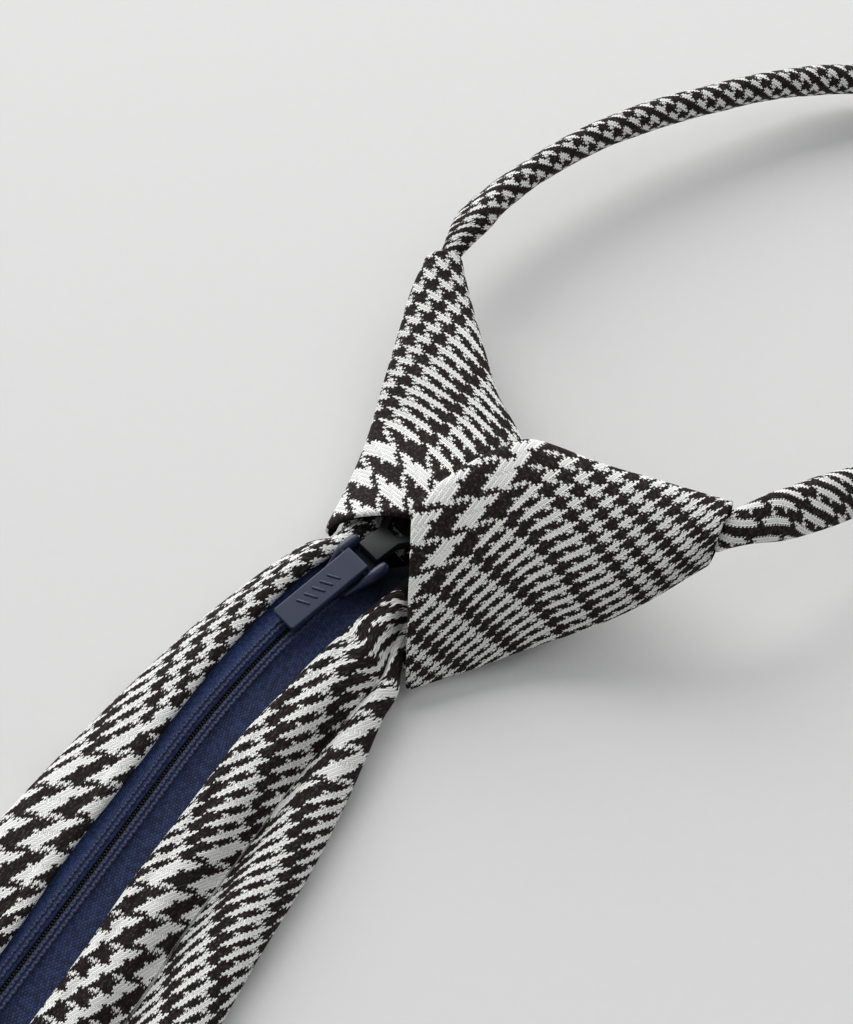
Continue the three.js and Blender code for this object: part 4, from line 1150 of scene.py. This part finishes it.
def on_slider(points, pulled=False):
    """Points in the slider's own frame, or in the tab's, brought to the row frame."""
    points = np.asarray(points, float)
    if pulled:
        c, s = math.cos(PULL_LIE), math.sin(PULL_LIE)
        x, y, z = points[..., 0], points[..., 1], points[..., 2]
        points = np.stack([x, y * c - z * s + PIN_FORWARD, y * s + z * c + pin_height], axis=-1)
    c, s = math.cos(-slider_turn), math.sin(-slider_turn)
    x, y, z = points[..., 0], points[..., 1], points[..., 2]
    return np.stack([x * c - y * s, x * s + y * c, z], axis=-1) + slider_place


def loft(name, rings, pulled=False):
    rings = on_slider(rings, pulled)
    return solid_from_rings(name, rings, grain_of(rings, np.arange(len(rings), dtype=float), 0))


def rounded_slab(outline, low, high, rounding, steps=5):
    """Rings of a slab whose outline is given, with rounded top and bottom rims."""
    outline = np.asarray(outline, float)
    ahead, behind = np.roll(outline, -1, axis=0), np.roll(outline, 1, axis=0)
    tangent = unit_rows(ahead - behind)
    inward = np.stack([-tangent[:, 1], tangent[:, 0]], axis=1)
    if np.sum(outline[:, 0] * ahead[:, 1] - outline[:, 1] * ahead[:, 0]) < 0:
        inward = -inward
    turns = np.radians(np.linspace(0, 90, steps))
    insets, drops = rounding * (1 - np.cos(turns)), rounding * (1 - np.sin(turns))
    levels = [*zip(low + drops[::-1], insets[::-1]), *zip(high - drops, insets)]
    return np.array([np.column_stack([outline + inward * inset, np.full(len(outline), height)])
                     for height, inset in levels])


def bezier(start, control, end, count):
    t = np.linspace(0, 1, count, endpoint=False)[:, None]
    return (1 - t) ** 2 * start + 2 * t * (1 - t) * control + t * t * end


# %% Slider
def slider_outline():
    """Six curves: the start and the control of each, in half widths and half lengths, and how
    many points it gets. A curve ends where the next one starts."""
    curves = (((-0.66, -1), (0, -1), 8), ((0.66, -1), (0.72, 0), 12), ((1, 0.35), (1, 0.95), 12),
              ((0.55, 1), (0, 0.72), 10), ((-0.55, 1), (-1, 0.95), 12),
              ((-1, 0.35), (-0.72, 0), 12))
    half = np.array((SLIDER_WIDTH, SLIDER_LENGTH)) / 2
    return np.vstack([bezier(half * start, half * control, half * after[0], count)
                      for (start, control, count), after in zip(curves, curves[1:] + curves[:1])])


def shoulder(side):
    lug_sink = 0.3
    columns = ("along", "inward", "width", "height")
    rows = ((-0.47, 0.000, 0.40, 0.55), (-0.42, -0.010, 1.10, 0.98), (-0.30, -0.016, 1.30, 1.02),
            (-0.12, -0.012, 1.20, 1.00), (0.04, 0.008, 0.86, 0.80), (0.20, 0.040, 0.50, 0.45),
            (0.44, 0.090, 0.24, 0.16))
    shares = np.linspace(-0.46, 0.44, 30)
    row = read_table(columns, rows, shares)
    inner = PULL_WIDTH / 2 + GAP + LUG_WIDTH / 2
    angle = 2 * np.pi * np.arange(20) / 20
    rings = []
    for i, share in enumerate(shares):
        half = row["height"][i] * LUG_HEIGHT / 2
        x = side * (inner - row["inward"][i] * SLIDER_WIDTH
                    + np.cos(angle) * row["width"][i] * LUG_WIDTH / 2)
        z = plate_top - lug_sink + half + np.sin(angle) * half
        rings.append(np.column_stack([x, np.full(20, -share * SLIDER_LENGTH), z]))
    return np.array(rings)


def tube(start, end, radius, sides=20):
    start, end = np.array(start, float), np.array(end, float)
    axis = (end - start) / np.linalg.norm(end - start)
    one = np.cross(axis, (0, 0, 1) if abs(axis[2]) < 0.9 else (0, 1, 0))
    one /= np.linalg.norm(one)
    two = np.cross(axis, one)
    angle = 2 * np.pi * np.arange(sides) / sides
    circle = radius * (np.cos(angle)[:, None] * one + np.sin(angle)[:, None] * two)
    return np.array([start + circle, end + circle])


def painted(piece, finish):
    piece.data.materials.append(finish)
    return piece


def joined(name, pieces):
    """One object from several, each kept as a closed body."""
    for piece in pieces:
        piece.select_set(True)
    bpy.context.view_layer.objects.active = pieces[0]
    bpy.ops.object.join()
    whole = bpy.context.view_layer.objects.active
    whole.name = whole.data.name = name
    whole.select_set(False)
    return whole


bpy.ops.object.select_all(action="DESELECT")
reach = PULL_WIDTH / 2 + GAP + LUG_WIDTH / 2
post = tube((0, POST_PLACE, SLIDER_PLATE / 2), (0, POST_PLACE, plate_top - SLIDER_PLATE / 2),
            POST_RADIUS)
pin = tube((-reach, PIN_FORWARD, pin_height), (reach, PIN_FORWARD, pin_height), PIN_RADIUS)
slider = joined("slider_casting", [painted(loft(name, rings), finish) for name, rings, finish in (
    ("bottom_plate", rounded_slab(slider_outline(), 0, SLIDER_PLATE, 0.25), paint),
    ("top_plate", rounded_slab(slider_outline(), top_plate_level, plate_top, 0.4), paint_darkened_as_shade),
    ("post", post, paint),
    ("shoulder_left", shoulder(-1), paint),
    ("shoulder_right", shoulder(1), paint),
    ("pin", pin, paint_darkened_as_shade))])
print("slider:", len(slider.data.polygons), "faces")


# %% Tab, from slabs, and clip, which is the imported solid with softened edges
def softened(node, name, width, segments):
    """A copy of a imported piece, with its doubles merged and its edges rounded."""
    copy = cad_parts[node].copy()
    copy.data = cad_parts[node].data.copy()
    copy.name = copy.data.name = name
    copy.parent = None
    copy.matrix_world = Matrix.Identity(4)
    bpy.context.scene.collection.objects.link(copy)
    bpy.context.view_layer.objects.active = copy
    copy.select_set(True)
    weld = copy.modifiers.new("weld", "WELD")
    weld.merge_threshold = 1e-6
    bevel = copy.modifiers.new("bevel", "BEVEL")
    bevel.width = width * MM
    bevel.segments = segments
    bevel.limit_method = "ANGLE"
    bevel.angle_limit = math.radians(40)
    for modifier in ("weld", "bevel"):
        bpy.ops.object.modifier_apply(modifier=modifier)
    copy.data.shade_smooth()
    bpy.ops.object.shade_auto_smooth(angle=math.radians(35))
    for modifier in list(copy.modifiers):
        bpy.ops.object.modifier_apply(modifier=modifier.name)
    copy.select_set(False)
    return copy


def rounded_box(half_width, back, front, back_corner, front_corner, count=7):
    """The outline of a flat box with rounded corners, seen from above."""
    corners = ((half_width, back, -90, back_corner), (half_width, front, 0, front_corner),
               (-half_width, front, 90, front_corner), (-half_width, back, 180, back_corner))
    points = []
    for x, y, first, radius in corners:
        centre = np.array([x - math.copysign(radius, x), y + (radius if y == back else -radius)])
        turn = np.radians(first + np.linspace(0, 90, count))
        points.append(centre + radius * np.stack([np.cos(turn), np.sin(turn)], axis=1))
    return np.vstack(points)


def flat_ended(piece):
    """Keeps a slab's top and bottom flat in the shading; only its rims are round."""
    for polygon in piece.data.polygons:
        polygon.use_smooth = len(polygon.vertices) <= 4
    return piece


GRIPS = 5
FIRST_GRIP = -4.6
GRIP_SPACING = 1.75
GRIP_LEAN = math.radians(28)
GRIP_RISE = 0.24

tab_top = PULL_HEAD / 2
plate = rounded_box(PULL_WIDTH / 2, PULL_HEAD_END - PULL_LENGTH, -PULL_HEAD * 0.3, 0.7, 0.2)
head = rounded_box(PULL_WIDTH / 2 - 0.01, -PULL_HEAD - 0.2, PULL_HEAD_END, 0.2, 0.25)
tab_parts = [
    flat_ended(loft("plate", rounded_slab(plate, tab_top - PULL_THICKNESS, tab_top, 0.26), True)),
    flat_ended(loft("head", rounded_slab(head, 0.3 - tab_top, tab_top - 0.01, 0.22), True)),
]
c, s = math.cos(GRIP_LEAN), math.sin(GRIP_LEAN)
grip = rounded_box(1.3, -0.24, 0.24, 0.23, 0.23) @ np.array([[c, s], [-s, c]])
for number in range(GRIPS):
    here = grip + (0, FIRST_GRIP - number * GRIP_SPACING)
    rib = rounded_slab(here, tab_top - 0.2, tab_top + GRIP_RISE, 0.2)
    tab_parts.append(loft(f"grip_{number + 1}", rib, True))
tab = joined("zip_tab", tab_parts)
clip = softened("slider_clip", "clip_moulding", 0.22, 3)
print("tab:", len(tab.data.polygons), "faces, clip:", len(clip.data.polygons), "faces")


# %% Zip details: cords of chain stitch and the coil under the slot
def on_tape(side, distance, lift, first, last, count=420):
    """A path on a tape, `distance` from the slot's edge and `lift` above it."""
    along = np.linspace(first, last, count)
    across, height = tape_profile(side, along)
    path = []
    for i in range(count):
        line = smooth_line(np.stack([across[i], height[i]], axis=1)[::-1], np.linspace(0, 4, 60))
        run = lengths_along(line)
        spot = [np.interp(distance, run, line[:, 0]), np.interp(distance, run, line[:, 1])]
        path.append(zip_point(along[i], spot[0], spot[1] + lift))
    return np.array(path)


CORD_PLACES = (0.48, 1.42)
CORD_LIFT = 0.08
CORD_BEADS = (0.72, (1.10, 0.66, 0.60), 0.45)
COIL_PLACES = (-0.32, 0.32)
COIL_BEADS = (0.58, (0.42, 1.1, 0.55), 0.25)

details = []
cord_start = SLIDER_PLACE + SLIDER_LENGTH * 0.3
for side, label in ((-1, "left"), (1, "right")):
    for number, distance in enumerate(CORD_PLACES):
        path = on_tape(side, distance, CORD_LIFT, cord_start, ZIP_LENGTH - 1)
        details.append(row_of_beads(f"chain_stitch_{label}_{number + 1}", path, *CORD_BEADS,
                                    thread))
along = np.linspace(SLIDER_PLACE + 1, ZIP_LENGTH - CHAIN_END, 300)
ridge = zip_heights(along)[2]
for number, offset in enumerate(COIL_PLACES):
    path = zip_point(along, offset, ridge - TAPE - GAP - CHAIN_DROP + 0.1)
    details.append(row_of_beads(f"coil_{number + 1}", path, *COIL_BEADS, coil_black))
print("zip details:", sum(len(piece.data.polygons) for piece in details), "faces")

# %% [markdown]
# ## Dress and place
#
# Every new piece rides on a body and stands for the plain solid that it replaces, which is hidden.

# %% Materials on pieces. The slider has its own already, and the blade's cloth in the knot's mouth takes the near-black lining as painted shade
outfit = (
    (blade, "blade", "checked_cloth", [checked_cloth, painted_shade_lining]),
    (wing_left, "wing_left", "checked_cloth", [checked_cloth, painted_shade_lining]),
    (wing_right, "wing_right", "checked_cloth", [checked_cloth, painted_shade_lining]),
    (knot_front, "knot_front", "checked_cloth", [checked_cloth]),
    (neck_loop, "neck_loop", "checked_cloth", [band_cloth]),
    (tape_left, "zip_tape_left", "navy_tape", [tape_finish_left_lit]),
    (tape_right, "zip_tape_right", "navy_tape", [tape_finish_right_shaded]),
    (slider, "slider_body", "navy_paint", []),
    (clip, "slider_clip", "black_clip", [plastic]),
    (tab, "zip_pull", "navy_paint", [paint]),
)
clip.data.materials.clear()
for piece, _, _, finishes in outfit:
    for finish in finishes:
        piece.data.materials.append(finish)
# Painted shade: the blade's cloth inside the knot's mouth, beside the slider, takes the near-black
# lining.
for polygon in blade.data.polygons:
    x, y = polygon.center[0] / MM, polygon.center[1] / MM
    if y > slider_place[1] + SLIDER_LENGTH * 0.05 and x > slider_place[0] - 1:
        polygon.material_index = 1
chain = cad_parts["zip_chain"]
chain.data.materials.clear()
chain.data.materials.append(coil_black)

# %% Bodies for the new pieces and the zip details, and the replaced solids hidden
for piece, node, slot, _ in outfit:
    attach(piece, "pull" if piece is tab else "tie")
    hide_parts(node)
for piece in details:
    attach(piece, "tie")

# %% [markdown]
# ## Table and light
#
# The tie lies on a smooth pale table. One very large soft light stands behind it on the left, at
# about thirty degrees above the table, so the shadows fall to the front right and fade out
# slowly. A weak second light and a pale sky fill them a little.

# %% Table
floor_mesh = bpy.data.meshes.new("floor")
floor_mesh.from_pydata([(-3, -3, 0), (3, -3, 0), (3, 3, 0), (-3, 3, 0)], [], [(0, 1, 2, 3)])
floor = added("floor", floor_mesh)
floor_paper, sheet = new_material("pale table")
table_place = sheet.add("ShaderNodeTexCoord", {}, {}, 3)
speck = sheet.add("ShaderNodeTexNoise", {}, {"Vector": table_place, "Scale": 400.0, "Detail": 4.0})
paper = sheet.mix(speck, (0.735, 0.735, 0.725, 1), (0.755, 0.755, 0.745, 1))
finish_material(sheet, {"Base Color": paper, "Roughness": 0.7, "Specular IOR Level": 0.2})
floor_mesh.materials.append(floor_paper)


# %% Light
def area_light(name, place, size, power, colour):
    data = bpy.data.lights.new(name, "AREA")
    data.shape = "SQUARE"
    data.size = size
    data.energy = power
    data.color = colour
    light = added(name, data)
    light.location = place
    light.rotation_euler = (-Vector(place)).to_track_quat("-Z", "Y").to_euler()


SKY = (0.97, 0.98, 1.0)
SKY_STRENGTH = 0.37
area_light("window", (-1.48, 1.36, 1.20), 2.8, 80.0, (1.0, 0.998, 0.992))
area_light("fill", (0.6, 0.9, 1.4), 1.4, 4.0, SKY)
world = bpy.data.worlds.new("pale sky")
world.use_nodes = True
sky = world.node_tree.nodes["Background"]
sky.inputs["Color"].default_value = (*SKY, 1.0)
sky.inputs["Strength"].default_value = SKY_STRENGTH
bpy.context.scene.world = world
bpy.context.scene.view_settings.view_transform = "Standard"
